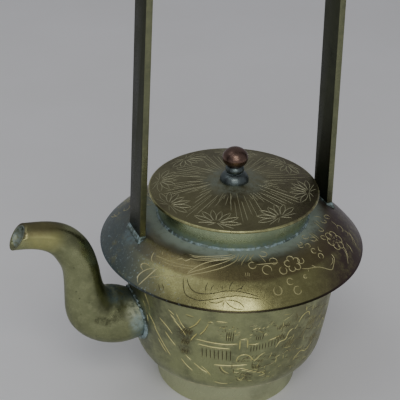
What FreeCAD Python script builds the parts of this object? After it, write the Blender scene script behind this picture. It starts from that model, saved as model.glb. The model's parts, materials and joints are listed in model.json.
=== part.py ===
"""Small brass teapot with a flat strap handle, an S-shaped spout and a lift-off lid.

Millimetres. The origin is the centre of the foot on the surface that the pot stands on, +Z is up and
-X points to the spout. The bowl, foot ring, shoulder, neck collar, spout and handle are separate brass
pieces that are soldered together. The lid, with its bezel and riveted knob, lifts out of the neck collar.
"""

import FreeCAD, Part
import math
import os

import Sketcher

OUT_FOLDER = "parts"
DEGREES = 180.0 / math.pi

# Places closer together than this count as the same.
SAME_PLACE = 1e-4

# Every size that can be set by itself: name, value, what it is.
SIZES = (
    ("rim_radius", 47.0, "outer edge of the shoulder's brim"),
    ("rim_height", 56.6, "height of the brim's edge"),
    ("shoulder_sheet", 1.1, "thickness of the shoulder"),
    ("crown_radius", 32.0, "where the flat crown begins to turn over into the brim"),
    ("crown_height", 67.6, "height of the shoulder at the crown radius"),
    ("crown_slope", 5.0, "slope of the flat crown, degrees"),
    ("knee_radius", 8.0, "radius of the turn between crown and brim"),
    ("knee_slope", 30.0, "slope at which that turn ends, degrees"),
    ("brim_bulge", 0.7, "swell of the brim above a straight line from that turn to the edge"),
    ("neck_radius", 26.7, "outside of the neck collar"),
    ("neck_wall", 1.0, "wall of the neck collar"),
    ("neck_top", 76.3, "height of the collar's top edge, where the lid rests"),
    ("neck_tail", 0.8, "how far the collar passes below the shoulder"),
    ("solder_gap", 0.05, "gap that solder fills round a soldered piece"),
    ("neck_fillet", 0.7, "leg of the solder fillet round the neck collar"),
    ("seam_fillet", 1.2, "leg of the solder fillet under the brim and in the foot"),
    ("bowl_top_radius", 39.0, "outside of the bowl where it meets the shoulder"),
    ("waist_radius", 34.9, "outside of the bowl where the side turns in"),
    ("waist_height", 20.5, "height at which the side turns in"),
    ("waist_slope", 9.5, "lean from upright at which the turn-in starts, degrees"),
    ("side_bulge", 0.733, "swell of the bowl's side beyond a straight line from waist to top"),
    ("lip_radius", 31.6, "sharp lower edge of the bowl"),
    ("lip_height", 13.1, "height of the bowl's flat underside"),
    ("bowl_wall", 1.2, "wall of the bowl"),
    ("strainer_hole", 1.4, "radius of a strainer hole in the bowl's wall"),
    ("strainer_ring", 4.6, "radius of the ring of strainer holes"),
    ("foot_radius", 26.0, "outside of the foot ring at the table"),
    ("foot_top_radius", 25.4, "outside of the foot ring under the bowl"),
    ("foot_wall", 1.3, "wall of the foot ring"),
    ("foot_round", 0.5, "rounding of the foot ring's lower outer edge"),
    ("root_reach", 36.5, "spout root's centre from the axis"),
    ("root_height", 32.8, "spout root's centre above the table"),
    ("root_radius", 9.2, "outside radius of the spout's root"),
    ("stem_gap", 8.9, "spout stem's centre line beyond the brim's edge"),
    ("mouth_reach", 77.7, "spout mouth's centre from the axis"),
    ("mouth_height", 72.6, "spout mouth's centre above the table"),
    ("mouth_radius", 4.4, "outside radius of the spout at its mouth"),
    ("mouth_tilt", 33.0, "how far the mouth's plane faces up, degrees"),
    ("spout_wall", 1.0, "wall of the spout"),
    ("root_fillet", 0.8, "thickness of the solder band round the spout's root"),
    ("strap_width", 10.7, "width of the handle strap"),
    ("strap_thickness", 2.1, "thickness of the handle strap"),
    ("handle_foot", 35.85, "strap's centre from the axis at the shoulder"),
    ("handle_shoulder", 33.1, "strap's centre from the axis at the top bar"),
    ("handle_height", 178.0, "height of the handle's top"),
    ("handle_bend", 9.0, "outer radius of the handle's two top bends"),
    ("tenon_width", 6.0, "width of the tenon at each foot of the strap"),
    ("tenon_thickness", 1.3, "thickness of that tenon"),
    ("tenon_tail", 0.9, "how far the tenon passes below the shoulder"),
    ("tenon_gap", 0.1, "gap round the tenon in its slot"),
    ("skirt_spread", 0.9, "spread of the solder skirt round a strap foot"),
    ("skirt_rise", 1.0, "rise of that skirt on the strap"),
    ("lid_radius", 30.0, "outer edge of the lid"),
    ("lid_edge", 1.1, "thickness of the lid at its edge"),
    ("lid_rise", 3.1, "rise of the lid from its edge to the knob"),
    ("lid_sheet", 1.0, "thickness of the lid inside its seat"),
    ("lid_land", 5.4, "radius of the flat under the knob"),
    ("bezel_wall", 0.9, "wall of the bezel under the lid"),
    ("bezel_depth", 5.0, "depth of the bezel below the lid's seat"),
    ("bezel_gap", 0.35, "gap between the bezel and the collar's bore"),
    ("bezel_fillet", 1.0, "leg of the solder fillet inside the bezel"),
    ("flange_radius", 5.05, "foot of the knob's pedestal"),
    ("flange_lip", 0.5, "upright edge of that foot"),
    ("bell_bulge", 0.55, "how far the bell between foot and groove swells out"),
    ("pedestal_height", 5.7, "height of the pedestal"),
    ("pedestal_neck", 2.75, "radius of the groove on each side of the bead"),
    ("pedestal_bead", 3.3, "radius of the bead round the pedestal"),
    ("ball_radius", 4.5, "largest radius of the knob's ball"),
    ("ball_half_height", 3.65, "half height of the slightly flattened ball"),
    ("ball_seat", 3.05, "ball's centre above its flat seat"),
    ("rivet_radius", 1.0, "shank of the knob's rivet"),
    ("rivet_gap", 0.05, "gap round the shank"),
    ("rivet_reach", 4.2, "how far the shank enters the ball"),
    ("rivet_head", 1.9, "radius of the peened head"),
    ("rivet_head_height", 0.9, "height of the peened head"),
    ("washer_radius", 3.2, "outside of the washer under the lid"),
    ("washer_thickness", 0.8, "thickness of that washer"),
    ("overrun", 5.0, "how far a cutting tool runs past what it cuts"),
)

STRAINER_RING_HOLES = 6

# Heights of the groove and of the bead above it, as shares of the pedestal's height.
PEDESTAL_GROOVE_SHARE = 0.55
PEDESTAL_BEAD_SHARE = 0.76

# The lid's edge is rounded by this share of its thickness, above and below.
LID_ROUND_SHARE = 0.45

# The spout's stations from inside the bowl's wall to past the mouth. The numbers are shares of the way out
# from root to stem, of the way out from stem to mouth, of the way up, and of the swell from the mouth's
# radius to the root's. The last is how steeply the spout climbs there, in degrees.
SPOUT_SHARES = (
    (-0.34, 0.0, -0.02, 0.94, 6.0),
    (0.0, 0.0, 0.0, 1.0, 8.0),
    (0.34, 0.0, 0.02, 1.24, 13.0),
    (0.637, 0.0, 0.07, 1.23, 28.0),
    (0.871, 0.0, 0.165, 0.97, 56.0),
    (0.96, 0.0, 0.32, 0.605, 77.0),
    (1.0, 0.0, 0.48, 0.435, 82.0),
    (1.0, 0.047, 0.635, 0.375, 75.0),
    (1.0, 0.159, 0.78, 0.37, 58.0),
    (1.0, 0.338, 0.895, 0.27, 37.0),
    (1.0, 0.603, 0.965, 0.10, 17.0),
    (1.0, 0.887, 0.993, 0.01, 7.0),
    (1.0, 1.17, 1.007, 0.0, 5.0),
    (1.0, 1.454, 1.02, 0.0, 5.0),
)


class Size:
    """A size that carries its value and the sheet expression that gives it."""

    def __init__(self, value, text):
        self.value = float(value)
        self.text = text

    def __add__(self, other):
        return joined(self, "+", other, self.value + plain(other))

    def __sub__(self, other):
        return joined(self, "-", other, self.value - plain(other))

    def __mul__(self, other):
        return joined(self, "*", other, self.value * plain(other))

    def __truediv__(self, other):
        return joined(self, "/", other, self.value / plain(other))

    def __neg__(self):
        return Size(-self.value, "-(%s)" % self.text)

    __radd__ = __add__
    __rmul__ = __mul__


def plain(item):
    """The number in a Size, or the number itself."""
    return item.value if isinstance(item, Size) else float(item)


def wording(item):
    """The expression of a Size, or the number written out."""
    return item.text if isinstance(item, Size) else repr(float(item))


def joined(left, sign, right, value):
    return Size(value, "(%s %s %s)" % (wording(left), sign, wording(right)))


def sine(angle):
    return Size(math.sin(angle.value / DEGREES), "sin(%s)" % angle.text)


def cosine(angle):
    return Size(math.cos(angle.value / DEGREES), "cos(%s)" % angle.text)


def root(item):
    return Size(math.sqrt(item.value), "sqrt(%s)" % item.text)


NOTHING = Size(0.0, "0")


def make_sheet(document):
    """Writes the sizes into a spreadsheet and returns them by name."""
    sheet = document.addObject("Spreadsheet::Sheet", "sizes")
    for row, (name, value, meaning) in enumerate(SIZES, start=1):
        sheet.set("A%d" % row, meaning)
        sheet.set("B%d" % row, repr(value))
        sheet.setAlias("B%d" % row, name)
    document.recompute()
    return {name: Size(sheet.get(name), "sizes.%s" % name) for name, _, _ in SIZES}


class Arc:
    """A corner of an outline that is reached by an arc about a centre."""

    def __init__(self, point, centre, radius):
        self.point = point
        self.centre = centre
        self.radius = radius


def tangent_arc(start, slope_r, slope_z, end):
    """Centre and radius of the arc from start, at a right angle to (slope_r, slope_z), to end."""
    step_r = end[0] - start[0]
    step_z = end[1] - start[1]
    chord = step_r * step_r + step_z * step_z
    radius = chord / ((step_r * slope_r + step_z * slope_z) * 2.0)
    return (start[0] + radius * slope_r, start[1] + radius * slope_z), radius


def bulging_arc(start, end, bulge):
    """Centre and radius of the arc from start to end that swells by bulge on the right of its chord."""
    across = end[0] - start[0]
    along = end[1] - start[1]
    chord = root(across * across + along * along)
    radius = (chord * chord / 4.0 + bulge * bulge) / (bulge * 2.0)
    back = (radius - bulge) / chord
    centre_r = (start[0] + end[0]) / 2.0 - along * back
    centre_z = (start[1] + end[1]) / 2.0 + across * back
    return (centre_r, centre_z), radius


def along_radius(centre, point, old, new):
    """Moves a point on an arc of radius old to the arc of radius new about the same centre."""
    share = new / old
    return (centre[0] + (point[0] - centre[0]) * share, centre[1] + (point[1] - centre[1]) * share)


def height_on_arc(centre, arc_radius, radius):
    """Height of the upper half of an arc at a distance from the pot's axis."""
    out = radius - centre[0]
    return centre[1] + root(arc_radius * arc_radius - out * out)


def plane_of(body, role):
    return next(feature for feature in body.Origin.OriginFeatures if feature.Role == role)


def new_sketch(body, name, role):
    sketch = body.newObject("Sketcher::SketchObject", name)
    sketch.AttachmentSupport = [(plane_of(body, role), "")]
    sketch.MapMode = "FlatFace"
    return sketch


def bind(sketch, kind, places, size):
    """Adds a dimension to a sketch and binds it to the sizes."""
    number = sketch.addConstraint(Sketcher.Constraint(kind, *places, size.value))
    sketch.setExpression("Constraints[%d]" % number, size.text)


def draw_outline(sketch, corners):
    """Draws a closed outline, each corner a point or an Arc, with every corner bound to the sizes."""
    points = [corner.point if isinstance(corner, Arc) else corner for corner in corners]
    ends = []
    for number, corner in enumerate(corners):
        first = points[number - 1]
        last = points[number]
        if isinstance(corner, Arc):
            ends.append(draw_arc(sketch, first, last, corner))
        else:
            line = Part.LineSegment(vector(first), vector(last))
            ends.append((sketch.addGeometry(line, False), 1, 2))
    for number, (edge, start, stop) in enumerate(ends):
        following = ends[(number + 1) % len(ends)]
        sketch.addConstraint(Sketcher.Constraint("Coincident", edge, stop, following[0], following[1]))
        corner_r, corner_z = points[number]
        if corner_r.value == 0.0:
            sketch.addConstraint(Sketcher.Constraint("PointOnObject", edge, stop, -2))
        else:
            bind(sketch, "DistanceX", (-1, 1, edge, stop), corner_r)
        if corner_z.value == 0.0:
            sketch.addConstraint(Sketcher.Constraint("PointOnObject", edge, stop, -1))
        else:
            bind(sketch, "DistanceY", (-1, 1, edge, stop), corner_z)
    for (edge, start, stop), corner in zip(ends, corners):
        if isinstance(corner, Arc):
            bind(sketch, "Radius", (edge,), corner.radius)


def draw_arc(sketch, first, last, corner):
    """Draws the shorter arc from first to last and returns its edge with its start and stop points."""
    middle = vector(corner.centre)
    begin = math.atan2(first[1].value - middle.y, first[0].value - middle.x)
    finish = math.atan2(last[1].value - middle.y, last[0].value - middle.x)
    forwards = (finish - begin) % (2.0 * math.pi) < math.pi
    low, high = (begin, finish) if forwards else (finish, begin)
    circle = Part.Circle(middle, FreeCAD.Vector(0, 0, 1), corner.radius.value)
    edge = sketch.addGeometry(Part.ArcOfCircle(circle, low, high), False)
    return (edge, 1, 2) if forwards else (edge, 2, 1)


def vector(point):
    return FreeCAD.Vector(point[0].value, point[1].value, 0)


def new_body(document, name, label):
    body = document.addObject("PartDesign::Body", name)
    body.Label = label
    return body


def turned_body(document, label, corners):
    """A body made by turning an outline of radius and height about the pot's axis."""
    body = new_body(document, label + "_body", label)
    sketch = new_sketch(body, label + "_outline", "XZ_Plane")
    draw_outline(sketch, corners)
    turned = body.newObject("PartDesign::Revolution", label + "_turned")
    turned.Profile = sketch
    turned.ReferenceAxis = (sketch, ["V_Axis"])
    turned.Angle = 360.0
    document.recompute()
    return body


def add_pocket(document, body, name, role, draw, reversed_way, depth=None):
    """Cuts a pocket through a body from one of its origin planes, and checks that it took material away."""
    before = body.Shape.Volume
    sketch = new_sketch(body, name + "_outline", role)
    draw(sketch)
    pocket = body.newObject("PartDesign::Pocket", name)
    pocket.Profile = sketch
    pocket.Reversed = reversed_way
    if depth is None:
        pocket.Type = "ThroughAll"
    else:
        pocket.Type = "Length"
        pocket.Length = depth.value
        pocket.setExpression("Length", depth.text)
    document.recompute()
    if not body.Shape.Volume < before:
        raise ValueError("%s cut nothing" % name)


def set_size(item, prop, size):
    item.setExpression(prop, size.text)


def boolean(document, kind, label, base, tool):
    result = document.addObject("Part::" + kind, label)
    result.Label = label
    result.Base = base
    result.Tool = tool
    document.recompute()
    return result


class Shoulder:
    """Where the shoulder's outer and inner faces run. Other pieces are set against these."""

    def __init__(self, size):
        self.size = size
        slope = size["crown_slope"]
        steep = size["knee_slope"]
        knee = size["knee_radius"]
        sheet = size["shoulder_sheet"]
        self.rise = sine(slope) / cosine(slope)
        self.turn = (size["crown_radius"], size["crown_height"])
        self.knee_centre = (self.turn[0] - knee * sine(slope), self.turn[1] - knee * cosine(slope))
        self.knee = (self.knee_centre[0] + knee * sine(steep), self.knee_centre[1] + knee * cosine(steep))
        self.edge = (size["rim_radius"], size["rim_height"])
        self.centre, self.outer = bulging_arc(self.edge, self.knee, size["brim_bulge"])
        self.inner = self.outer - sheet
        self.knee_inner = knee - sheet
        self.turn_under = along_radius(self.knee_centre, self.turn, knee, self.knee_inner)
        self.knee_under = along_radius(self.knee_centre, self.knee, knee, self.knee_inner)
        self.edge_under = along_radius(self.centre, self.edge, self.outer, self.inner)

    def upper_face(self):
        """The upper face's outline from the end of the crown to the rim."""
        return [
            self.turn,
            Arc(self.knee, self.knee_centre, self.size["knee_radius"]),
            Arc(self.edge, self.centre, self.outer),
        ]

    def crown_at(self, radius):
        """Height of the crown's upper face at a radius inside its turn."""
        return self.turn[1] + (self.turn[0] - radius) * self.rise

    def under_crown_at(self, radius):
        """Height of the crown's lower face at a radius inside its turn."""
        return self.crown_at(radius) - self.size["shoulder_sheet"] / cosine(self.size["crown_slope"])

    def top_at(self, radius):
        """Height of the upper face at a radius, on the crown, the turn or the brim."""
        if radius.value <= self.turn[0].value:
            return self.crown_at(radius)
        if radius.value <= self.knee[0].value:
            return height_on_arc(self.knee_centre, self.size["knee_radius"], radius)
        return height_on_arc(self.centre, self.outer, radius)

    def under_at(self, radius):
        """Height of the lower face at a radius, on the crown, the turn or the brim."""
        if radius.value <= self.turn_under[0].value:
            return self.under_crown_at(radius)
        if radius.value <= self.knee_under[0].value:
            return height_on_arc(self.knee_centre, self.knee_inner, radius)
        return height_on_arc(self.centre, self.inner, radius)


def make_shoulder(document, size, shoulder):
    """Domed plate with a round hole for the neck and a slot for each foot of the strap."""
    hole = size["neck_radius"] + size["solder_gap"]
    body = turned_body(
        document,
        "shoulder",
        [(hole, shoulder.crown_at(hole))]
        + shoulder.upper_face()
        + [
            shoulder.edge_under,
            Arc(shoulder.knee_under, shoulder.centre, shoulder.inner),
            Arc(shoulder.turn_under, shoulder.knee_centre, shoulder.knee_inner),
            (hole, shoulder.under_crown_at(hole)),
        ],
    )

    def draw_slots(sketch):
        half_width = size["tenon_width"] / 2.0 + size["tenon_gap"]
        half_thick = size["tenon_thickness"] / 2.0 + size["tenon_gap"]
        for side in (-1.0, 1.0):
            middle = size["handle_foot"] * side
            draw_outline(sketch, rectangle(middle, NOTHING, half_thick, half_width))

    add_pocket(document, body, "tenon_slots", "XY_Plane", draw_slots, True)
    return body


def rectangle(middle_x, middle_y, half_x, half_y):
    return [
        (middle_x - half_x, middle_y - half_y),
        (middle_x + half_x, middle_y - half_y),
        (middle_x + half_x, middle_y + half_y),
        (middle_x - half_x, middle_y + half_y),
    ]


def make_shoulder_envelope(document, size, shoulder):
    """Solid under the shoulder's upper face. It trims what stands on the shoulder."""
    floor = size["rim_height"] - size["overrun"]
    return turned_body(
        document,
        "shoulder_envelope",
        [(NOTHING, shoulder.crown_at(NOTHING))]
        + shoulder.upper_face()
        + [(size["rim_radius"], floor), (NOTHING, floor)],
    )


class Bowl:
    """Where the bowl's side runs. The spout and the shoulder are set against it."""

    def __init__(self, size, shoulder):
        self.size = size
        top = shoulder.under_at(size["bowl_top_radius"]) - size["solder_gap"]
        lean = size["waist_slope"]
        self.top = (size["bowl_top_radius"], top)
        self.waist = (size["waist_radius"], size["waist_height"])
        self.lip = (size["lip_radius"], size["lip_height"])
        self.side_centre, self.side = bulging_arc(self.waist, self.top, size["side_bulge"])
        self.turn_centre, self.turn = tangent_arc(self.waist, -cosine(lean), sine(lean), self.lip)

    def layer(self, depth):
        """Top, waist and lip of the surface that lies depth inside the bowl's outer face."""
        side = self.side - depth
        turn = self.turn - depth
        return (
            along_radius(self.side_centre, self.top, self.side, side),
            along_radius(self.side_centre, self.waist, self.side, side),
            along_radius(self.turn_centre, self.lip, self.turn, turn),
            side,
            turn,
        )


def make_bowl(document, size, bowl):
    """Open bowl with a flat underside and strainer holes where the spout is joined."""
    top, waist, lip, side, turn = bowl.layer(size["bowl_wall"])
    floor = size["lip_height"] + size["bowl_wall"]
    drop = floor - bowl.turn_centre[1]
    corner = (bowl.turn_centre[0] + root(turn * turn - drop * drop), floor)
    body = turned_body(
        document,
        "bowl",
        [
            bowl.lip,
            Arc(bowl.waist, bowl.turn_centre, bowl.turn),
            Arc(bowl.top, bowl.side_centre, bowl.side),
            (top[0], bowl.top[1]),
            Arc(waist, bowl.side_centre, side),
            Arc(corner, bowl.turn_centre, turn),
            (NOTHING, floor),
            (NOTHING, size["lip_height"]),
        ],
    )

    def draw_holes(sketch):
        places = [(NOTHING, size["root_height"])]
        for number in range(STRAINER_RING_HOLES):
            angle = 2.0 * math.pi * number / STRAINER_RING_HOLES
            across = size["strainer_ring"] * math.sin(angle)
            above = size["root_height"] + size["strainer_ring"] * math.cos(angle)
            places.append((across, above))
        for across, above in places:
            radius = size["strainer_hole"].value
            circle = Part.Circle(vector((across, above)), FreeCAD.Vector(0, 0, 1), radius)
            edge = sketch.addGeometry(circle, False)
            bind(sketch, "Radius", (edge,), size["strainer_hole"])
            if abs(across.value) < size["strainer_ring"].value / STRAINER_RING_HOLES:
                sketch.addConstraint(Sketcher.Constraint("PointOnObject", edge, 3, -2))
            else:
                bind(sketch, "DistanceX", (-1, 1, edge, 3), across)
            bind(sketch, "DistanceY", (-1, 1, edge, 3), above)

    depth = size["bowl_top_radius"] + size["overrun"]
    add_pocket(document, body, "strainer_holes", "YZ_Plane", draw_holes, False, depth)
    return body


def make_bowl_envelope(document, size, bowl, label, depth):
    """Solid bowl whose face lies depth inside the real one. It trims what is set against the bowl."""
    top, waist, lip, side, turn = bowl.layer(depth)
    return turned_body(
        document,
        label,
        [
            lip,
            Arc(waist, bowl.turn_centre, turn),
            Arc(top, bowl.side_centre, side),
            (NOTHING, top[1]),
            (NOTHING, lip[1]),
        ],
    )


def make_foot_ring(document, size):
    """Plain ring that carries the bowl."""
    round_centre = (size["foot_radius"] - size["foot_round"], size["foot_round"])
    return turned_body(
        document,
        "foot_ring",
        [
            (size["foot_radius"] - size["foot_wall"], NOTHING),
            (round_centre[0], NOTHING),
            Arc((size["foot_radius"], size["foot_round"]), round_centre, size["foot_round"]),
            (size["foot_top_radius"], size["lip_height"]),
            (size["foot_top_radius"] - size["foot_wall"], size["lip_height"]),
        ],
    )


def make_neck_collar(document, size, shoulder):
    """Upright collar that passes through the shoulder and carries the lid."""
    outside = size["neck_radius"]
    bore = outside - size["neck_wall"]
    tail = shoulder.under_crown_at(outside) - size["neck_tail"]
    top = size["neck_top"]
    return turned_body(
        document,
        "neck_collar",
        [(bore, tail), (outside, tail), (outside, top), (bore, top)],
    )


def make_ring_solders(document, size, shoulder, bowl):
    """The three turned solder fillets: round the neck, under the brim and inside the foot."""
    neck = size["neck_radius"]
    neck_out = neck + size["neck_fillet"]
    neck_base = shoulder.crown_at(neck)
    neck_high = neck_base + size["neck_fillet"]
    neck_solder = turned_body(
        document,
        "neck_solder",
        [(neck, neck_base), (neck_out, shoulder.crown_at(neck_out)), (neck, neck_high)],
    )
    side, top = bowl.top
    side_out = side + size["seam_fillet"]
    shoulder_solder = turned_body(
        document,
        "shoulder_solder",
        [(side, top - size["seam_fillet"]), (side_out, shoulder.under_at(side_out)), (side, top)],
    )
    inside = size["foot_top_radius"] - size["foot_wall"]
    under = size["lip_height"]
    leg = size["seam_fillet"]
    lean = (size["foot_radius"] - size["foot_top_radius"]) / under
    foot_solder = turned_body(
        document,
        "foot_solder",
        [(inside, under), (inside - leg, under), (inside + leg * lean, under - leg)],
    )
    return [neck_solder, shoulder_solder, foot_solder]


def spout_station(size, shares):
    """Place and radius of one spout station, as sizes, and its climb in degrees."""
    to_stem_share, past_stem_share, up_share, swell_share, climb = shares
    stem = size["rim_radius"] + size["stem_gap"]
    to_stem = (stem - size["root_reach"]) * to_stem_share
    past_stem = (size["mouth_reach"] - stem) * past_stem_share
    reach = size["root_reach"] + to_stem + past_stem
    height = size["root_height"] + (size["mouth_height"] - size["root_height"]) * up_share
    radius = size["mouth_radius"] + (size["root_radius"] - size["mouth_radius"]) * swell_share
    return reach, height, radius, climb


def face_along_spout(item, reach, height, climb):
    """Places an item on the spout's centre line with its own Z along the way out."""
    turn = FreeCAD.Rotation(FreeCAD.Vector(0, 1, 0), climb - 90.0)
    item.Placement = FreeCAD.Placement(FreeCAD.Vector(-reach.value, 0, height.value), turn)
    set_size(item, "Placement.Base.x", -reach)
    set_size(item, "Placement.Base.z", height)


def spout_loft(document, size, name, stations, growth):
    """Smooth solid through the spout's circles, each grown by the same amount."""
    circles = []
    for number, shares in enumerate(stations):
        reach, height, radius, climb = spout_station(size, shares)
        circle = document.addObject("Part::Circle", "%s_ring_%02d" % (name, number))
        set_size(circle, "Radius", radius + growth)
        face_along_spout(circle, reach, height, climb)
        circles.append(circle)
    document.recompute()
    loft = document.addObject("Part::Loft", name)
    loft.Sections = circles
    loft.Solid = True
    loft.Ruled = False
    document.recompute()
    return loft


def make_spout(document, size, bowl_envelope):
    """S-shaped tube, trimmed to the bowl at its root and cut on a slant at its mouth."""
    outside = spout_loft(document, size, "spout_outside", SPOUT_SHARES, NOTHING)
    bore = spout_loft(document, size, "spout_bore", SPOUT_SHARES, -size["spout_wall"])
    tube = boolean(document, "Cut", "spout_tube", outside, bore)
    trimmed = boolean(document, "Cut", "spout_trimmed", tube, bowl_envelope)
    cutter = document.addObject("Part::Cylinder", "mouth_cutter")
    set_size(cutter, "Radius", size["root_radius"] + size["overrun"])
    set_size(cutter, "Height", (size["mouth_reach"] - size["root_reach"]))
    face_along_spout(cutter, size["mouth_reach"], size["mouth_height"], size["mouth_tilt"].value)
    document.recompute()
    return boolean(document, "Cut", "spout", trimmed, cutter), outside


def make_spout_solder(document, size, bowl, bowl_envelope, spout_outside):
    """Band of solder that lies on the bowl round the spout's root."""
    swollen = make_bowl_envelope(document, size, bowl, "swollen_bowl", -size["root_fillet"])
    collar = document.addObject("Part::Cylinder", "spout_solder_collar")
    set_size(collar, "Radius", size["root_radius"] + size["root_fillet"])
    set_size(collar, "Height", size["bowl_top_radius"])
    reach, height, _, climb = spout_station(size, SPOUT_SHARES[0])
    face_along_spout(collar, reach, height, climb)
    document.recompute()
    band = boolean(document, "Common", "spout_solder_band", collar, swollen)
    ring = boolean(document, "Cut", "spout_solder_ring", band, bowl_envelope)
    return boolean(document, "Cut", "spout_solder", ring, spout_outside)


class Strap:
    """Where the strap's leaning legs run. The solder at its feet follows them."""

    def __init__(self, size, shoulder):
        self.foot = size["handle_foot"]
        self.head = size["handle_shoulder"]
        self.top = size["handle_height"]
        self.surface = shoulder.top_at(self.foot)
        self.low = self.surface - size["overrun"]
        self.lean = (self.foot - self.head) / (self.top - self.low)

    def middle_at(self, height):
        """The strap's centre from the axis at a height."""
        return self.foot - (height - self.low) * self.lean


def make_handle(document, size, shoulder, strap, shoulder_envelope):
    """Flat strap bent into a bail, its feet trimmed to the shoulder, with a tenon below each foot."""
    half = size["strap_thickness"] / 2.0
    foot = strap.foot
    low = strap.low
    head = strap.head
    top = strap.top
    under = top - size["strap_thickness"]
    body = new_body(document, "strap_body", "strap")
    sketch = new_sketch(body, "strap_outline", "XZ_Plane")
    draw_outline(
        sketch,
        [
            (-foot - half, low),
            (-head - half, top),
            (head + half, top),
            (foot + half, low),
            (foot - half, low),
            (head - half, under),
            (-head + half, under),
            (-foot + half, low),
        ],
    )
    pad = body.newObject("PartDesign::Pad", "strap_pad")
    pad.Profile = sketch
    pad.SideType = "Symmetric"
    pad.Length = size["strap_width"].value
    set_size(pad, "Length", size["strap_width"])
    document.recompute()
    for name, level, radius in (
        ("outer_bends", top, size["handle_bend"]),
        ("inner_bends", under, size["handle_bend"] - size["strap_thickness"]),
    ):
        before = body.Tip
        fillet = body.newObject("PartDesign::Fillet", name)
        fillet.Base = (before, cross_edges(before.Shape, level.value))
        fillet.Radius = radius.value
        set_size(fillet, "Radius", radius)
        document.recompute()
    bail = boolean(document, "Cut", "trimmed_strap", body, shoulder_envelope)
    bottom = shoulder.under_at(foot + size["tenon_thickness"] / 2.0) - size["tenon_tail"]
    for side, word in ((-1.0, "front"), (1.0, "rear")):
        tenon = document.addObject("Part::Box", word + "_tenon")
        set_size(tenon, "Length", size["tenon_thickness"])
        set_size(tenon, "Width", size["tenon_width"])
        set_size(tenon, "Height", strap.surface + size["strap_thickness"] - bottom)
        set_size(tenon, "Placement.Base.x", size["handle_foot"] * side - size["tenon_thickness"] / 2.0)
        set_size(tenon, "Placement.Base.y", -size["tenon_width"] / 2.0)
        set_size(tenon, "Placement.Base.z", bottom)
        document.recompute()
        label = "handle" if side > 0.0 else "strap_with_front_tenon"
        bail = boolean(document, "Fuse", label, bail, tenon)
    return bail


def cross_edges(shape, height):
    """Names of the straight edges along Y that lie at a height."""
    names = []
    for number, edge in enumerate(shape.Edges, start=1):
        box = edge.BoundBox
        level = abs(box.ZMin - height) < SAME_PLACE and abs(box.ZMax - height) < SAME_PLACE
        if level and box.XLength < SAME_PLACE:
            names.append("Edge%d" % number)
    return names


def make_strap_solders(document, size, shoulder, strap, shoulder_envelope, handle):
    """Sloping skirt of solder round each foot of the strap."""
    solders = []
    reach = size["handle_foot"] + size["strap_thickness"] / 2.0 + size["skirt_spread"]
    base = shoulder.top_at(reach) - size["solder_gap"]
    top = strap.surface + size["skirt_rise"]
    for side, label in ((-1.0, "handle_solder_front"), (1.0, "handle_solder_rear")):
        skirt = document.addObject("Part::Wedge", label + "_skirt")
        half_x = size["strap_thickness"] / 2.0
        half_y = size["strap_width"] / 2.0
        spread = size["skirt_spread"]
        foot_middle = strap.middle_at(base) * side
        top_middle = strap.middle_at(top) * side
        set_size(skirt, "Xmin", foot_middle - half_x - spread)
        set_size(skirt, "Xmax", foot_middle + half_x + spread)
        set_size(skirt, "X2min", top_middle - half_x - size["solder_gap"])
        set_size(skirt, "X2max", top_middle + half_x + size["solder_gap"])
        set_size(skirt, "Zmin", -half_y - spread)
        set_size(skirt, "Zmax", half_y + spread)
        set_size(skirt, "Z2min", -half_y - size["solder_gap"])
        set_size(skirt, "Z2max", half_y + size["solder_gap"])
        set_size(skirt, "Ymin", NOTHING)
        set_size(skirt, "Ymax", top - base)
        upright = FreeCAD.Rotation(FreeCAD.Vector(1, 0, 0), 90.0)
        skirt.Placement = FreeCAD.Placement(FreeCAD.Vector(0, 0, base.value), upright)
        set_size(skirt, "Placement.Base.z", base)
        document.recompute()
        above = boolean(document, "Cut", label + "_above", skirt, shoulder_envelope)
        solders.append(boolean(document, "Cut", label, above, handle))
    return solders


class Lid:
    """Heights and radii that the lid's pieces share."""

    def __init__(self, size):
        self.seat = size["neck_top"]
        self.edge_top = self.seat + size["lid_edge"]
        self.peak = self.edge_top + size["lid_rise"]
        self.underside = self.peak - size["lid_sheet"]
        self.round = size["lid_edge"] * LID_ROUND_SHARE
        self.slope_start = size["lid_radius"] - self.round
        self.fall = size["lid_rise"] / (self.slope_start - size["lid_land"])
        self.bezel_outside = size["neck_radius"] - size["neck_wall"] - size["bezel_gap"]
        self.bezel_bore = self.bezel_outside - size["bezel_wall"]
        self.hole = size["rivet_radius"] + size["rivet_gap"]
        self.ball_flat = self.peak + size["pedestal_height"]
        self.ball_centre = self.ball_flat + size["ball_seat"]

    def top_at(self, radius):
        """Height of the lid's upper face at a radius."""
        return self.edge_top + (self.slope_start - radius) * self.fall


def make_lid_plate(document, size, lid):
    """Low cone with a rounded edge, a flat seat and a hole for the rivet."""
    flat_inside = lid.bezel_bore - size["bezel_fillet"] - size["solder_gap"]
    thin_from = flat_inside - size["lid_sheet"]
    upper_round = (lid.slope_start, lid.edge_top - lid.round)
    lower_round = (lid.slope_start, lid.seat + lid.round)
    return turned_body(
        document,
        "lid_plate",
        [
            (lid.hole, lid.peak),
            (size["lid_land"], lid.peak),
            (lid.slope_start, lid.edge_top),
            Arc((size["lid_radius"], upper_round[1]), upper_round, lid.round),
            (size["lid_radius"], lower_round[1]),
            Arc((lid.slope_start, lid.seat), lower_round, lid.round),
            (flat_inside, lid.seat),
            (thin_from, lid.top_at(thin_from) - size["lid_sheet"]),
            (size["lid_land"], lid.underside),
            (lid.hole, lid.underside),
        ],
    )


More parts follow.
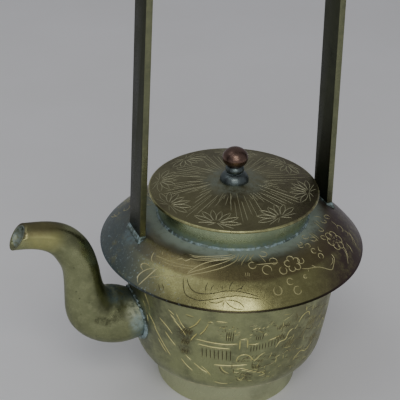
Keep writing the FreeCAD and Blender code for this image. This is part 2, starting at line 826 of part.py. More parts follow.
def make_bezel(document, size, lid):
    """Ring under the lid that keeps it centred in the collar, and the solder inside it."""
    bore = lid.bezel_bore
    outside = lid.bezel_outside
    end = lid.seat - size["bezel_depth"]
    leg = size["bezel_fillet"]
    bezel = turned_body(
        document,
        "lid_bezel",
        [(bore, end), (outside, end), (outside, lid.seat), (bore, lid.seat)],
    )
    solder = turned_body(
        document,
        "bezel_solder",
        [(bore, lid.seat), (bore - leg, lid.seat), (bore, lid.seat - leg)],
    )
    return [bezel, solder]


def make_ball(document, size, lid):
    """Slightly flattened ball with a flat seat and a blind hole for the rivet."""
    whole = document.addObject("Part::Ellipsoid", "whole_ball")
    set_size(whole, "Radius1", size["ball_half_height"])
    set_size(whole, "Radius2", size["ball_radius"])
    set_size(whole, "Placement.Base.z", lid.ball_centre)
    below = document.addObject("Part::Cylinder", "below_ball_seat")
    set_size(below, "Radius", size["ball_radius"] + size["overrun"])
    set_size(below, "Height", size["ball_radius"])
    set_size(below, "Placement.Base.z", lid.ball_flat - size["ball_radius"])
    hole = document.addObject("Part::Cylinder", "rivet_hole")
    set_size(hole, "Radius", lid.hole)
    set_size(hole, "Height", size["rivet_reach"] + size["rivet_gap"])
    set_size(hole, "Placement.Base.z", lid.ball_flat)
    document.recompute()
    seated = boolean(document, "Cut", "seated_ball", whole, below)
    return boolean(document, "Cut", "knob_ball", seated, hole)


def make_knob(document, size, lid):
    """Turned pedestal, ball, through rivet and washer."""
    height = size["pedestal_height"]
    groove = lid.peak + height * PEDESTAL_GROOVE_SHARE
    bead = lid.peak + height * PEDESTAL_BEAD_SHARE
    lip_top = lid.peak + size["flange_lip"]
    bell_centre, bell_radius = bulging_arc(
        (size["flange_radius"], lip_top), (size["pedestal_neck"], groove), size["bell_bulge"]
    )
    half_bead = bead - groove
    swell = size["pedestal_bead"] - size["pedestal_neck"]
    bead_radius = (half_bead * half_bead + swell * swell) / (swell * 2.0)
    bead_centre = (size["pedestal_bead"] - bead_radius, bead)
    pedestal = turned_body(
        document,
        "knob_pedestal",
        [
            (lid.hole, lid.peak),
            (size["flange_radius"], lid.peak),
            (size["flange_radius"], lip_top),
            Arc((size["pedestal_neck"], groove), bell_centre, bell_radius),
            Arc((size["pedestal_neck"], bead + half_bead), bead_centre, bead_radius),
            (size["pedestal_neck"], lid.ball_flat),
            (lid.hole, lid.ball_flat),
        ],
    )
    ball = make_ball(document, size, lid)
    washer_under = lid.underside - size["washer_thickness"]
    washer = turned_body(
        document,
        "knob_washer",
        [
            (lid.hole, washer_under),
            (size["washer_radius"], washer_under),
            (size["washer_radius"], lid.underside),
            (lid.hole, lid.underside),
        ],
    )
    head = size["rivet_head"]
    dome = size["rivet_head_height"]
    dome_radius = (head * head + dome * dome) / (dome * 2.0)
    tip = washer_under - dome
    rivet = turned_body(
        document,
        "knob_rivet",
        [
            (size["rivet_radius"], washer_under),
            (size["rivet_radius"], lid.ball_flat + size["rivet_reach"]),
            (NOTHING, lid.ball_flat + size["rivet_reach"]),
            (NOTHING, tip),
            Arc((head, washer_under), (NOTHING, tip + dome_radius), dome_radius),
        ],
    )
    return [pedestal, ball, washer, rivet]


def check(document, pieces):
    """Stops if any object failed to compute or any piece has no valid shape."""
    failed = [item.Name for item in document.Objects if "Invalid" in item.State or "Error" in item.State]
    if failed:
        raise ValueError("these objects failed: %s" % ", ".join(failed))
    for piece in pieces:
        shape = piece.Shape
        if shape.isNull() or not shape.isValid() or not shape.Solids:
            raise ValueError("%s has no valid solid" % piece.Label)


def main():
    document = FreeCAD.newDocument("teapot")
    size = make_sheet(document)
    shoulder = Shoulder(size)
    bowl = Bowl(size, shoulder)
    lid = Lid(size)
    shoulder_envelope = make_shoulder_envelope(document, size, shoulder)
    bowl_envelope = make_bowl_envelope(document, size, bowl, "bowl_envelope", NOTHING)
    spout, spout_outside = make_spout(document, size, bowl_envelope)
    strap = Strap(size, shoulder)
    handle = make_handle(document, size, shoulder, strap, shoulder_envelope)
    pieces = [
        make_bowl(document, size, bowl),
        make_foot_ring(document, size),
        make_shoulder(document, size, shoulder),
        make_neck_collar(document, size, shoulder),
        spout,
        make_spout_solder(document, size, bowl, bowl_envelope, spout_outside),
        handle,
        make_lid_plate(document, size, lid),
    ]
    pieces += make_ring_solders(document, size, shoulder, bowl)
    pieces += make_strap_solders(document, size, shoulder, strap, shoulder_envelope, handle)
    pieces += make_bezel(document, size, lid)
    pieces += make_knob(document, size, lid)
    document.recompute()
    check(document, pieces)
    os.makedirs(OUT_FOLDER, exist_ok=True)
    for piece in pieces:
        piece.Shape.exportStep(os.path.join(OUT_FOLDER, piece.Label + ".step"))
        print("%-20s %2d solid(s) %9.1f mm3" % (piece.Label, len(piece.Shape.Solids), piece.Shape.Volume))


main()
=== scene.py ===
"""Small engraved brass teapot, dressed for its picture.

Metres, +Z up. The spout points to -X and the origin is the centre of the foot on the table. The shoulder, bowl
and lid are turned shells whose outer faces carry engraved grooves. The strap, spout, knob and solder follow the
frame's own solids.
"""

import json
import logging
import math
from collections.abc import Callable, Iterator
from contextlib import contextmanager
from dataclasses import dataclass, replace
from enum import Enum

import bpy
import numpy as np
from mathutils import Matrix, Vector, noise
from mathutils.geometry import delaunay_2d_cdt

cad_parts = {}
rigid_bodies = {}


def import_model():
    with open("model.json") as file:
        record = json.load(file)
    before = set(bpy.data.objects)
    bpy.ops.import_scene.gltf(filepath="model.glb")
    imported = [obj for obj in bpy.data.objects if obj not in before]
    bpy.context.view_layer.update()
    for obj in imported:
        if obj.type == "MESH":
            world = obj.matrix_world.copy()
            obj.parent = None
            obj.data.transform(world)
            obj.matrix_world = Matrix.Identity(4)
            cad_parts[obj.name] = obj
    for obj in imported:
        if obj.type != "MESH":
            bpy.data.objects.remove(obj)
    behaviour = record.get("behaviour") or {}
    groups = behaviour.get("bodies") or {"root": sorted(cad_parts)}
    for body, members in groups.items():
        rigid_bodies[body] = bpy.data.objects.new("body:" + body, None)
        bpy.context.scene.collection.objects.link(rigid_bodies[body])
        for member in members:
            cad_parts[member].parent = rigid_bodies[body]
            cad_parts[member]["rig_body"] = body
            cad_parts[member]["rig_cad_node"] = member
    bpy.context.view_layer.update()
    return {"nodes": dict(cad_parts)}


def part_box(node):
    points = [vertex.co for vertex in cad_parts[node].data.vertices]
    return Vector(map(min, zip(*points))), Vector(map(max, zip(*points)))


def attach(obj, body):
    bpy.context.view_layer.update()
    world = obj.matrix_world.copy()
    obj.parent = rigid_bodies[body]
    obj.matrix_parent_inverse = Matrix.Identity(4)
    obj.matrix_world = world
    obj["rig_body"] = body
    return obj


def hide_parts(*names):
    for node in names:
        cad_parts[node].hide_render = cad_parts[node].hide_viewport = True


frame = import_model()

LOG = logging.getLogger("teapot")

MM = 0.001
TURN = 2.0 * math.pi
AROUND = 192
MERGE = 2e-6
NOWHERE = 1e-9
BOTH_SIDES = (0.0, 180.0)
CREASE = 22.0
FITTING_CREASE = 40.0
BEAD_CREASE = 60.0

Point = tuple[float, float]
Colour = tuple[float, float, float]


class Spread(Enum):
    """How a turned face is laid out flat for engraving."""

    FAN = "fan"
    BAND = "band"


class Fade(Enum):
    """What a patina, verdigris or painted-light mask is measured from."""

    AXIS = "axis"
    SPOT = "spot"
    SIDE = "side"


def clear_selection() -> None:
    """Leaves object mode with nothing selected."""
    if bpy.context.mode != "OBJECT":
        bpy.ops.object.mode_set(mode="OBJECT")
    bpy.ops.object.select_all(action="DESELECT")


def activate(piece: bpy.types.Object) -> None:
    """Selects one piece alone and makes it active."""
    clear_selection()
    piece.select_set(True)
    bpy.context.view_layer.objects.active = piece


def apply_modifiers(piece: bpy.types.Object) -> None:
    """Applies all of a piece's modifiers in order."""
    activate(piece)
    for name in [modifier.name for modifier in piece.modifiers]:
        bpy.ops.object.modifier_apply(modifier=name)


@contextmanager
def editing(piece: bpy.types.Object) -> Iterator[None]:
    """Edit mode on one piece with all of it selected."""
    activate(piece)
    bpy.ops.object.mode_set(mode="EDIT")
    bpy.ops.mesh.select_all(action="SELECT")
    yield
    bpy.ops.object.mode_set(mode="OBJECT")


class TurnedFace:
    """A smooth turned face, given by an outline of radius and height, measured along its own length."""

    def __init__(self, outline: list[Point], spread: Spread, first_way: float = 0.0) -> None:
        """Measures the outline.

        Args:
            outline: closely spaced points of radius and height, in metres.
            spread: how the face is laid flat.
            first_way: the way along the face at the outline's first point.
        """
        points = np.array(outline)
        steps = np.hypot(*np.diff(points, axis=0).T)
        self.way = first_way + np.concatenate([[0.0], np.cumsum(steps)])
        self.radius = points[:, 0]
        self.height = points[:, 1]
        self.spread = spread
        self.mean_radius = float(np.mean(self.radius))

    def way_at(self, mark: float) -> float:
        """The way along the face at a radius on a fan, or at a height on a band."""
        return float(np.interp(mark, self.radius if self.spread is Spread.FAN else self.height, self.way))

    def flat(self, bearing: float, way: float) -> Point:
        """Where a bearing in radians and a way along the face lie on the flat layout."""
        if self.spread is Spread.FAN:
            return (way * math.sin(bearing), -way * math.cos(bearing))
        return (bearing * self.mean_radius, way)

    def solid(self, flat: np.ndarray, depth: np.ndarray) -> np.ndarray:
        """Puts flat points back on the turned face.

        Args:
            flat: points on the flat layout.
            depth: how far each point is sunk below the face.

        Returns:
            The points in space.
        """
        if self.spread is Spread.FAN:
            way = np.hypot(flat[:, 0], flat[:, 1])
            bearing = np.arctan2(flat[:, 0], -flat[:, 1])
        else:
            way = flat[:, 1]
            bearing = flat[:, 0] / self.mean_radius
        radius = np.interp(way, self.way, self.radius)
        height = np.interp(way, self.way, self.height)
        lean_r = np.interp(way, self.way, np.gradient(self.radius, self.way))
        lean_z = np.interp(way, self.way, np.gradient(self.height, self.way))
        side = 1.0 if self.spread is Spread.BAND else -1.0
        radius = radius - side * lean_z * depth
        height = height + side * lean_r * depth
        return np.stack([radius * np.sin(bearing), -radius * np.cos(bearing), height], axis=1)


@dataclass(frozen=True)
class Cut:
    """One engraved line on the flat layout."""

    points: np.ndarray
    width: float
    grime_and_shade: float


def smooth_line(points: list[Point], step: float) -> np.ndarray:
    """Draws an even smooth curve through given points.

    Args:
        points: the places that the curve passes.
        step: the spacing of the result.

    Returns:
        Points along the curve.
    """
    fixed = np.array(points, dtype=float)
    if len(fixed) == 2:
        count = max(2, int(np.linalg.norm(fixed[1] - fixed[0]) / step) + 1)
        share = np.linspace(0.0, 1.0, count)[:, None]
        return fixed[0] * (1.0 - share) + fixed[1] * share
    padded = np.vstack([2.0 * fixed[0] - fixed[1], fixed, 2.0 * fixed[-1] - fixed[-2]])
    found = []
    for before, start, stop, after in zip(padded, padded[1:], padded[2:], padded[3:]):
        count = max(2, int(np.linalg.norm(stop - start) / step))
        for share in np.arange(count) / count:
            even = 2.0 * start + (stop - before) * share
            bend = (2.0 * before - 5.0 * start + 4.0 * stop - after) * share**2
            twist = (3.0 * start - before - 3.0 * stop + after) * share**3
            found.append((even + bend + twist) / 2.0)
    found.append(fixed[-1])
    return np.array(found)


class Graver:
    """Collects the cuts of one face, from listed marks and from small repeated motifs.

    How dark a cut's floor is, from 0 to 1, stands for grime and for painted shade where the cut would read dark
    against a highlight.
    """

    def __init__(self, face: TurnedFace, width: float, step: float = 0.6 * MM) -> None:
        """Starts with no cuts.

        Args:
            face: the face that is engraved.
            width: the usual width of a cut.
            step: the spacing of points along a cut.
        """
        self.face = face
        self.width = width
        self.step = step
        self.shift = 0.0
        self.cuts: list[Cut] = []

    def place(self, bearing: float, mark: float) -> Point:
        """A place on the flat layout.

        Args:
            bearing: degrees from -Y, growing towards +X, before the graver's own shift.
            mark: millimetres of radius on a fan, or of height on a band.

        Returns:
            The flat point.
        """
        return self.face.flat(math.radians(bearing + self.shift), self.face.way_at(mark * MM))

    def local(self, bearing: float, mark: float, turn: float) -> "Patch":
        """A small flat patch with its own right and up, turned by degrees."""
        centre = np.array(self.place(bearing, mark))
        angle = math.radians(bearing + self.shift) if self.face.spread is Spread.FAN else 0.0
        return Patch(self, centre, angle + math.radians(turn))

    def line(self, *marks: Point, width: float | None = None, grime_and_shade: float = 0.0) -> None:
        """Cuts a smooth line through marks of bearing and radius or height."""
        self.add(smooth_line([self.place(*mark) for mark in marks], self.step), width, grime_and_shade)

    def add(self, points: np.ndarray, width: float | None = None, grime_and_shade: float = 0.0) -> None:
        """Keeps one cut, of the usual width where none is given."""
        self.cuts.append(Cut(points, width or self.width, grime_and_shade))

    def dash(self, bearing: float, mark: float, length: float, turn: float, width: float | None = None,
             grime_and_shade: float = 0.0) -> None:
        """Cuts one short straight stroke, length in millimetres."""
        patch = self.local(bearing, mark, turn)
        patch.line((-length / 2.0, 0.0), (length / 2.0, 0.0), width=width, grime_and_shade=grime_and_shade)


class Patch:
    """A motif's own flat axes, in millimetres, with Y towards the top of the pot."""

    def __init__(self, graver: Graver, centre: np.ndarray, angle: float) -> None:
        """Keeps the patch's place and turn."""
        self.graver = graver
        self.centre = centre
        self.right = np.array([math.cos(angle), math.sin(angle)])
        self.up = np.array([-math.sin(angle), math.cos(angle)])

    def at(self, x: float, y: float) -> np.ndarray:
        """A place of the patch on the flat layout."""
        return self.centre + (self.right * x + self.up * y) * MM

    def line(self, *points: Point, width: float | None = None, grime_and_shade: float = 0.0) -> None:
        """Cuts a smooth line through places of the patch."""
        self.graver.add(smooth_line([self.at(*point) for point in points], self.graver.step), width, grime_and_shade)

    def loop(self, x: float, y: float, radius: float, start: float, sweep: float) -> None:
        """Cuts an open ring, start and sweep in degrees."""
        count = max(8, int(radius * MM * math.radians(sweep) / self.graver.step))
        angles = np.radians(start + sweep * np.arange(count + 1) / count)
        self.graver.add(np.array([self.at(x + radius * math.cos(a), y + radius * math.sin(a)) for a in angles]))

    def petal(self, x: float, y: float, length: float, belly: float, turn: float) -> None:
        """Cuts a pointed leaf of two bowed lines that leaves (x, y) at turn degrees."""
        way = np.array([math.cos(math.radians(turn)), math.sin(math.radians(turn))])
        side = np.array([-way[1], way[0]])
        base = np.array([x, y])
        for bow in (-belly, belly):
            marks = [(0.0, 0.0), (0.3, 0.8), (0.62, 1.0), (1.0, 0.0)]
            self.line(*[tuple(base + way * length * far + side * bow * wide) for far, wide in marks])

    def blossom(self, radius: float, petals: int = 5, turn: float = 18.0) -> None:
        """Cuts a round blossom: open petal loops and short stamens."""
        for number in range(petals):
            angle = turn + 360.0 * number / petals
            x = radius * 0.62 * math.cos(math.radians(angle))
            y = radius * 0.62 * math.sin(math.radians(angle))
            self.loop(x, y, radius * 0.4, angle - 145.0, 290.0)
            self.line((x * 0.2, y * 0.2), (x * 0.75, y * 0.75))

    def fan_spray(self, length: float, petals: int, open_angle: float) -> None:
        """Cuts a lotus spray: pointed petals fanned out of one base, with a few straight roots."""
        for number in range(petals):
            share = number / (petals - 1.0)
            turn = 90.0 - open_angle + 2.0 * open_angle * share
            reach = length * (0.86 + 0.16 * abs(math.cos(math.pi * share)))
            start = 0.16 * length
            x, y = start * math.cos(math.radians(turn)), 0.5 * start * math.sin(math.radians(turn))
            self.petal(x, y, reach - start, 0.095 * length, turn)
            self.line((0.12 * x, 0.0), (x, y))
        for turn, share in ((-168.0, 0.75), (-142.0, 0.42), (-34.0, 0.50), (-11.0, 0.80)):
            far = share * length
            self.line((0.0, 0.0), (far * math.cos(math.radians(turn)), far * math.sin(math.radians(turn))))

    def hatch(self, width: float, height: float, count: int, slant: float) -> None:
        """Cuts a block of parallel strokes across the patch."""
        for number in range(count):
            x = width * ((number + 0.5) / count - 0.5)
            tall = height * (0.75 + 0.25 * math.sin(2.4 * number))
            self.line((x - slant * tall / 2.0, -tall / 2.0), (x + slant * tall / 2.0, tall / 2.0), grime_and_shade=0.9)


class EngravedFace:
    """Turns a face and its cuts into a mesh whose grooves are real V-shaped hollows.

    A reach is 1 at the floor of a cut of usual width, 0 at its bank and below 0 outside.
    """

    FAR_OUTSIDE = -10.0
    CLEAR_OF_CUTS = -0.8
    AT_ONCE = 400
    SNAP_IN_MM = 1e-4
    THINNEST = 16
    CLOSEST_SHARE = 0.6
    TIP_POINTS = 2.5
    TIP_POWER = 0.6

    def __init__(self, graver: Graver, depth: float, ring_step: float) -> None:
        """Lays out the face.

        Args:
            graver: the face with its cuts.
            depth: depth of a full cut.
            ring_step: spacing of the plain rings between cuts.
        """
        self.graver = graver
        self.face = graver.face
        self.depth = depth
        self.ring_step = ring_step

    def banks(self, cut: Cut) -> tuple[np.ndarray, np.ndarray]:
        """Normals and half widths along a cut, tapering to its ends."""
        points = cut.points
        along = np.gradient(points, axis=0)
        place = np.linspace(0.0, 1.0, len(points))
        near_tip = np.minimum(place, 1.0 - place) * len(points) / self.TIP_POINTS
        taper = np.clip(near_tip, 0.0, 1.0) ** self.TIP_POWER
        along = along / np.maximum(np.linalg.norm(along, axis=1, keepdims=True), 1e-12)
        return np.stack([-along[:, 1], along[:, 0]], axis=1), taper * cut.width / 2.0

    def plain_points(self) -> list[Point]:
        """Points of the even rings, both edges among them."""
        face = self.face
        rings = max(2, int(round((face.way[-1] - face.way[0]) / self.ring_step)) + 1)
        found = []
        for number, way in enumerate(np.linspace(face.way[0], face.way[-1], rings)):
            last = AROUND + 1 if face.spread is Spread.BAND else AROUND
            if face.spread is Spread.FAN and way < NOWHERE:
                found.append(face.flat(0.0, 0.0))
                continue
            thin = 1
            if face.spread is Spread.FAN and 0 < number < rings - 1:
                while thin < self.THINNEST and way * TURN * thin / AROUND < self.CLOSEST_SHARE * self.ring_step:
                    thin *= 2
            for place in range(0, last, thin):
                found.append(face.flat(TURN * place / AROUND - math.pi, way))
        return found

    def reach_of(self, points: np.ndarray, segments: np.ndarray) -> tuple[np.ndarray, np.ndarray]:
        """The reach of each point into its nearest cut, and how dark that cut's floor is, grime and painted shade
        together.
        """
        best = np.full(len(points), self.FAR_OUTSIDE)
        grime_and_shade = np.zeros(len(points))
        starts = segments[:, 0:2]
        ways = segments[:, 2:4] - starts
        spans = np.maximum((ways**2).sum(axis=1), 1e-18)
        for low in range(0, len(points), self.AT_ONCE):
            part = slice(low, low + self.AT_ONCE)
            offset = points[part][:, None, :] - starts[None]
            share = np.clip((offset * ways[None]).sum(axis=2) / spans, 0.0, 1.0)
            gap = np.linalg.norm(offset - ways[None] * share[..., None], axis=2)
            half = segments[:, 4] * (1.0 - share) + segments[:, 5] * share
            reach = (half - gap) / (self.graver.width / 2.0)
            deepest = reach.argmax(axis=1)
            best[part] = reach.max(axis=1)
            grime_and_shade[part] = segments[deepest, 6]
        return best, grime_and_shade

    def segments(self) -> np.ndarray:
        """Every straight stretch of every cut: its two ends, its two half widths and how dark its floor is (grime and
        painted shade).
        """
        rows = []
        for cut in self.graver.cuts:
            half = self.banks(cut)[1]
            points = cut.points
            for number in range(len(points) - 1):
                rows.append([*points[number], *points[number + 1], half[number], half[number + 1], cut.grime_and_shade])
        return np.array(rows)

    def mesh(self, name: str) -> bpy.types.Object:
        """Triangulates the flat layout round the grooves and puts it on the turned face.

        Args:
            name: the new object's name.

        Returns:
            The engraved face as an open mesh with a "cut" attribute and one for how dark each cut floor is, grime and
            painted shade together.
        """
        segments = self.segments()
        plain = np.array(self.plain_points())
        ways = np.hypot(plain[:, 0], plain[:, 1]) if self.face.spread is Spread.FAN else plain[:, 1]
        edge = (ways < self.face.way[0] + MERGE) | (ways > self.face.way[-1] - MERGE)
        if self.face.spread is Spread.BAND:
            edge |= np.abs(plain[:, 0]) > math.pi * self.face.mean_radius - MERGE
        clear = self.reach_of(plain, segments)[0] < self.CLEAR_OF_CUTS
        points = [tuple(point) for point in plain[clear | edge]]
        edges: list[tuple[int, int]] = []
        for cut in self.graver.cuts:
            normal, half = self.banks(cut)
            rows = []
            for side in (-1.0, 0.0, 1.0):
                row = []
                for number, spot in enumerate(cut.points + normal * half[:, None] * side):
                    if side != 0.0 and number in (0, len(cut.points) - 1):
                        row.append(-1)
                        continue
                    row.append(len(points))
                    points.append((float(spot[0]), float(spot[1])))
                rows.append(row)
            for row in rows:
                row[0] = rows[1][0] if row[0] < 0 else row[0]
                row[-1] = rows[1][-1] if row[-1] < 0 else row[-1]
                edges += [(a, b) for a, b in zip(row, row[1:]) if a != b]
        scaled = [Vector((x / MM, y / MM)) for x, y in points]
        found = delaunay_2d_cdt(scaled, edges, [], 0, self.SNAP_IN_MM)
        flat = np.array([(v.x, v.y) for v in found[0]]) * MM
        faces = [list(face) for face in found[2]]
        if self.face.spread is Spread.FAN and self.face.way[0] > NOWHERE:
            middle = np.array([flat[face].mean(axis=0) for face in faces])
            inside = np.hypot(middle[:, 0], middle[:, 1]) > self.face.way[0] * math.cos(math.pi / AROUND)
            faces = [face for face, kept in zip(faces, inside) if kept]
        share, grime_and_shade = self.reach_of(flat, segments)
        share = np.maximum(share, 0.0)
        solid = self.face.solid(flat, share * self.depth)
        share = np.minimum(share, 1.0)
        mesh = bpy.data.meshes.new(name)
        mesh.from_pydata([tuple(v) for v in solid], [], faces)
        for label, values in (("cut", share), ("grime_and_shade", share * grime_and_shade)):
            mesh.attributes.new(label, "FLOAT", "POINT").data.foreach_set("value", values.astype(np.float32))
        piece = bpy.data.objects.new(name, mesh)
        bpy.context.scene.collection.objects.link(piece)
        return piece


def arc_points(centre: Point, start: Point, stop: Point, count: int) -> list[Point]:
    """Points along the shorter arc about a centre, the first left out."""
    begin = math.atan2(start[1] - centre[1], start[0] - centre[0])
    finish = math.atan2(stop[1] - centre[1], stop[0] - centre[0])
    sweep = (finish - begin + math.pi) % TURN - math.pi
    radius = math.dist(centre, start)
    angles = [begin + sweep * number / count for number in range(1, count + 1)]
    return [(centre[0] + radius * math.cos(a), centre[1] + radius * math.sin(a)) for a in angles]


def line_points(start: Point, stop: Point, count: int) -> list[Point]:
    """Points along a straight stretch, the first left out."""
    shares = [number / count for number in range(1, count + 1)]
    return [(start[0] + (stop[0] - start[0]) * s, start[1] + (stop[1] - start[1]) * s) for s in shares]


def tangent_arc(start: Point, normal: Point, stop: Point) -> tuple[Point, float]:
    """Centre and radius of the arc that leaves start at a right angle to normal and ends at stop."""
    step = (stop[0] - start[0], stop[1] - start[1])
    radius = (step[0] ** 2 + step[1] ** 2) / (2.0 * (step[0] * normal[0] + step[1] * normal[1]))
    return (start[0] + radius * normal[0], start[1] + radius * normal[1]), radius


def toward(centre: Point, point: Point, distance: float) -> Point:
    """Moves a point straight towards an arc's centre."""
    share = 1.0 - distance / math.dist(centre, point)
    return (centre[0] + (point[0] - centre[0]) * share, centre[1] + (point[1] - centre[1]) * share)


def lathe(name: str, outline: list[Point]) -> bpy.types.Object:
    """Models a turned skin by extruding a circle ring by ring.

    Args:
        name: the new object's name.
        outline: radius and height of each ring. A last radius of 0 closes the skin.

    Returns:
        The skin as an open mesh.
    """
    clear_selection()
    first = outline[0]
    bpy.ops.mesh.primitive_circle_add(vertices=AROUND, radius=first[0], location=(0.0, 0.0, first[1]))
    piece = bpy.context.object
    piece.name = name
    bpy.ops.object.transform_apply(location=True, rotation=True, scale=True)
    with editing(piece):
        for before, after in zip(outline, outline[1:]):
            rise = (0.0, 0.0, after[1] - before[1])
            bpy.ops.mesh.extrude_region_move(TRANSFORM_OT_translate={"value": rise})
            share = max(after[0], MERGE) / before[0]
            bpy.ops.transform.resize(value=(share, share, 1.0), center_override=(0.0, 0.0, after[1]))
        if outline[-1][0] <= MERGE:
            bpy.ops.mesh.merge(type="CENTER")
    return piece


def weld(pieces: list[bpy.types.Object], name: str) -> bpy.types.Object:
    """Joins open skins that share their edges into one closed piece with its faces outwards."""
    clear_selection()
    for piece in pieces:
        piece.select_set(True)
    bpy.context.view_layer.objects.active = pieces[0]
    bpy.ops.object.join()
    whole = bpy.context.object
    whole.name = name
    with editing(whole):
        bpy.ops.mesh.remove_doubles(threshold=MERGE)
        bpy.ops.mesh.normals_make_consistent(inside=False)
    return whole


def mark(piece: bpy.types.Object, name: str, rule: Callable[[bpy.types.MeshPolygon], bool]) -> None:
    """Marks the faces that a rule picks, for the finish to read.

    Args:
        piece: the piece.
        name: the attribute's name.
        rule: says of each face whether it is marked.
    """
    values = [1.0 if rule(polygon) else 0.0 for polygon in piece.data.polygons]
    piece.data.attributes.new(name, "FLOAT", "FACE").data.foreach_set("value", values)


def unsteady(piece: bpy.types.Object, amount: float, size: float) -> None:
    """Gives a beaten or hand-turned piece its slight unevenness.

    Args:
        piece: the piece, whose points move.
        amount: how far a point moves at most.
        size: the size of one swelling.
    """
    for vertex in piece.data.vertices:
        where = vertex.co / size
        push = Vector([noise.noise(where + Vector((shift, 0.0, 0.0))) for shift in (0.0, 31.7, 67.3)])
        vertex.co += push * amount


def smooth(piece: bpy.types.Object, degrees: float) -> None:
    """Smooth shading that stays crisp past an angle."""
    activate(piece)
    bpy.ops.object.shade_smooth_by_angle(angle=math.radians(degrees))


FLAT_WITHIN = math.radians(0.3)
SHARP_FROM = math.radians(35.0)
EASE_SECTIONS = 2


def copy_of(node: str, name: str, bevel: float = 0.0) -> bpy.types.Object:
    """A piece that follows a solid of the frame, with its triangles merged and its sharp edges eased.

    Args:
        node: the solid's name.
        name: the new piece's name.
        bevel: width of the eased edges, or 0 for none.

    Returns:
        The new piece.
    """
    piece = frame["nodes"][node].copy()
    piece.data = piece.data.copy()
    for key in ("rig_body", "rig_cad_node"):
        if key in piece:
            del piece[key]
    piece.parent = None
    piece.matrix_world = Matrix.Identity(4)
    piece.name = name
    bpy.context.scene.collection.objects.link(piece)
    piece.data.materials.clear()
    with editing(piece):
        bpy.ops.mesh.remove_doubles(threshold=MERGE)
        bpy.ops.mesh.dissolve_limited(angle_limit=FLAT_WITHIN)
    if bevel > 0.0:
        modifier = piece.modifiers.new("eased", "BEVEL")
        modifier.width = bevel
        modifier.segments = EASE_SECTIONS
        modifier.limit_method = "ANGLE"
        modifier.angle_limit = SHARP_FROM
        apply_modifiers(piece)
    return piece


class Graph:
    """One material's nodes, built by short calls."""

    def __init__(self, name: str) -> None:
        """Makes an empty material with a shader."""
        self.material = bpy.data.materials.new(name)
        self.material.use_nodes = True
        self.tree = self.material.node_tree
        self.shader = self.tree.nodes["Principled BSDF"]
        self.coordinates = self.tree.nodes.new("ShaderNodeTexCoord").outputs["Object"]

    def put(self, socket: bpy.types.NodeSocket, value: object) -> None:
        """Links a socket to another, or sets its value."""
        if isinstance(value, bpy.types.NodeSocket):
            self.tree.links.new(value, socket)
        elif isinstance(value, tuple) and len(value) == 3 and socket.type == "RGBA":
            socket.default_value = (*value, 1.0)
        else:
            socket.default_value = value

    def node(self, kind: str, inputs: dict[str | int, object], output: str | int, **settings: object) -> object:
        """Adds one node.

        Args:
            kind: the node's type, without its prefix.
            inputs: a value or a socket for each input that isn't left alone.
            output: the output that is wanted.
            settings: the node's own settings.

        Returns:
            That output.
        """
        node = self.tree.nodes.new("ShaderNode" + kind)
        for name, value in settings.items():
            setattr(node, name, value)
        for name, value in inputs.items():
            self.put(node.inputs[name], value)
        return node.outputs[output]

    def noise(self, size: float, detail: float = 4.0, rough: float = 0.55, vector: object = None) -> object:
        """Cloudy noise whose blotches have a size in metres."""
        where = self.coordinates if vector is None else vector
        inputs = {"Vector": where, "Scale": 1.0 / size, "Detail": detail, "Roughness": rough}
        return self.node("TexNoise", inputs, "Fac")

    def cells(self, size: float) -> object:
        """Distance to scattered points whose spacing is a size in metres."""
        return self.node("TexVoronoi", {"Vector": self.coordinates, "Scale": 1.0 / size}, "Distance")

    def stretched(self, scale: tuple[float, float, float], turn: tuple[float, float, float]) -> object:
        """Coordinates turned and drawn out, for scratches."""
        return self.node("Mapping", {"Vector": self.coordinates, "Rotation": turn, "Scale": scale}, "Vector")

    def ranged(self, value: object, low: float, high: float, start: float = 0.0, stop: float = 1.0) -> object:
        """Maps low to high onto start to stop, smoothly and held at both ends."""
        inputs = {"Value": value, "From Min": low, "From Max": high, "To Min": start, "To Max": stop}
        return self.node("MapRange", inputs, "Result", interpolation_type="SMOOTHSTEP")

    def sum_of(self, how: str, first: object, second: object) -> object:
        """A sum, product or other arithmetic of two values."""
        return self.node("Math", {0: first, 1: second}, 0, operation=how)

    def mix(self, share: object, first: object, second: object) -> object:
        """A blend of two colours."""
        return self.node("Mix", {0: share, 6: first, 7: second}, 2, data_type="RGBA")

    def blend(self, share: object, first: object, second: object) -> object:
        """A blend of two plain values."""
        return self.node("Mix", {0: share, 2: first, 3: second}, 0)

    def attribute(self, name: str) -> object:
        """A value that the mesh carries."""
        return self.node("Attribute", {}, "Fac", attribute_name=name)

    def distance(self, centre: tuple[float, float, float], flatten: bool) -> object:
        """Distance from a point, or where it is flattened from the upright line through it."""
        offset = self.node("VectorMath", {0: self.coordinates, 1: centre}, "Vector", operation="SUBTRACT")
        kept = (1.0, 1.0, 0.0) if flatten else (1.0, 1.0, 1.0)
        flat = self.node("VectorMath", {0: offset, 1: kept}, "Vector", operation="MULTIPLY")
        return self.node("VectorMath", {0: flat}, "Value", operation="LENGTH")

    def along(self, way: tuple[float, float, float]) -> object:
        """How far a point lies along a direction."""
        return self.node("VectorMath", {0: self.coordinates, 1: way}, "Value", operation="DOT_PRODUCT")

    def bump(self, height: object, distance: float, below: object = None) -> object:
        """Surface relief of a height in metres."""
        under = {} if below is None else {"Normal": below}
        return self.node("Bump", {"Height": height, "Distance": distance, **under}, "Normal")


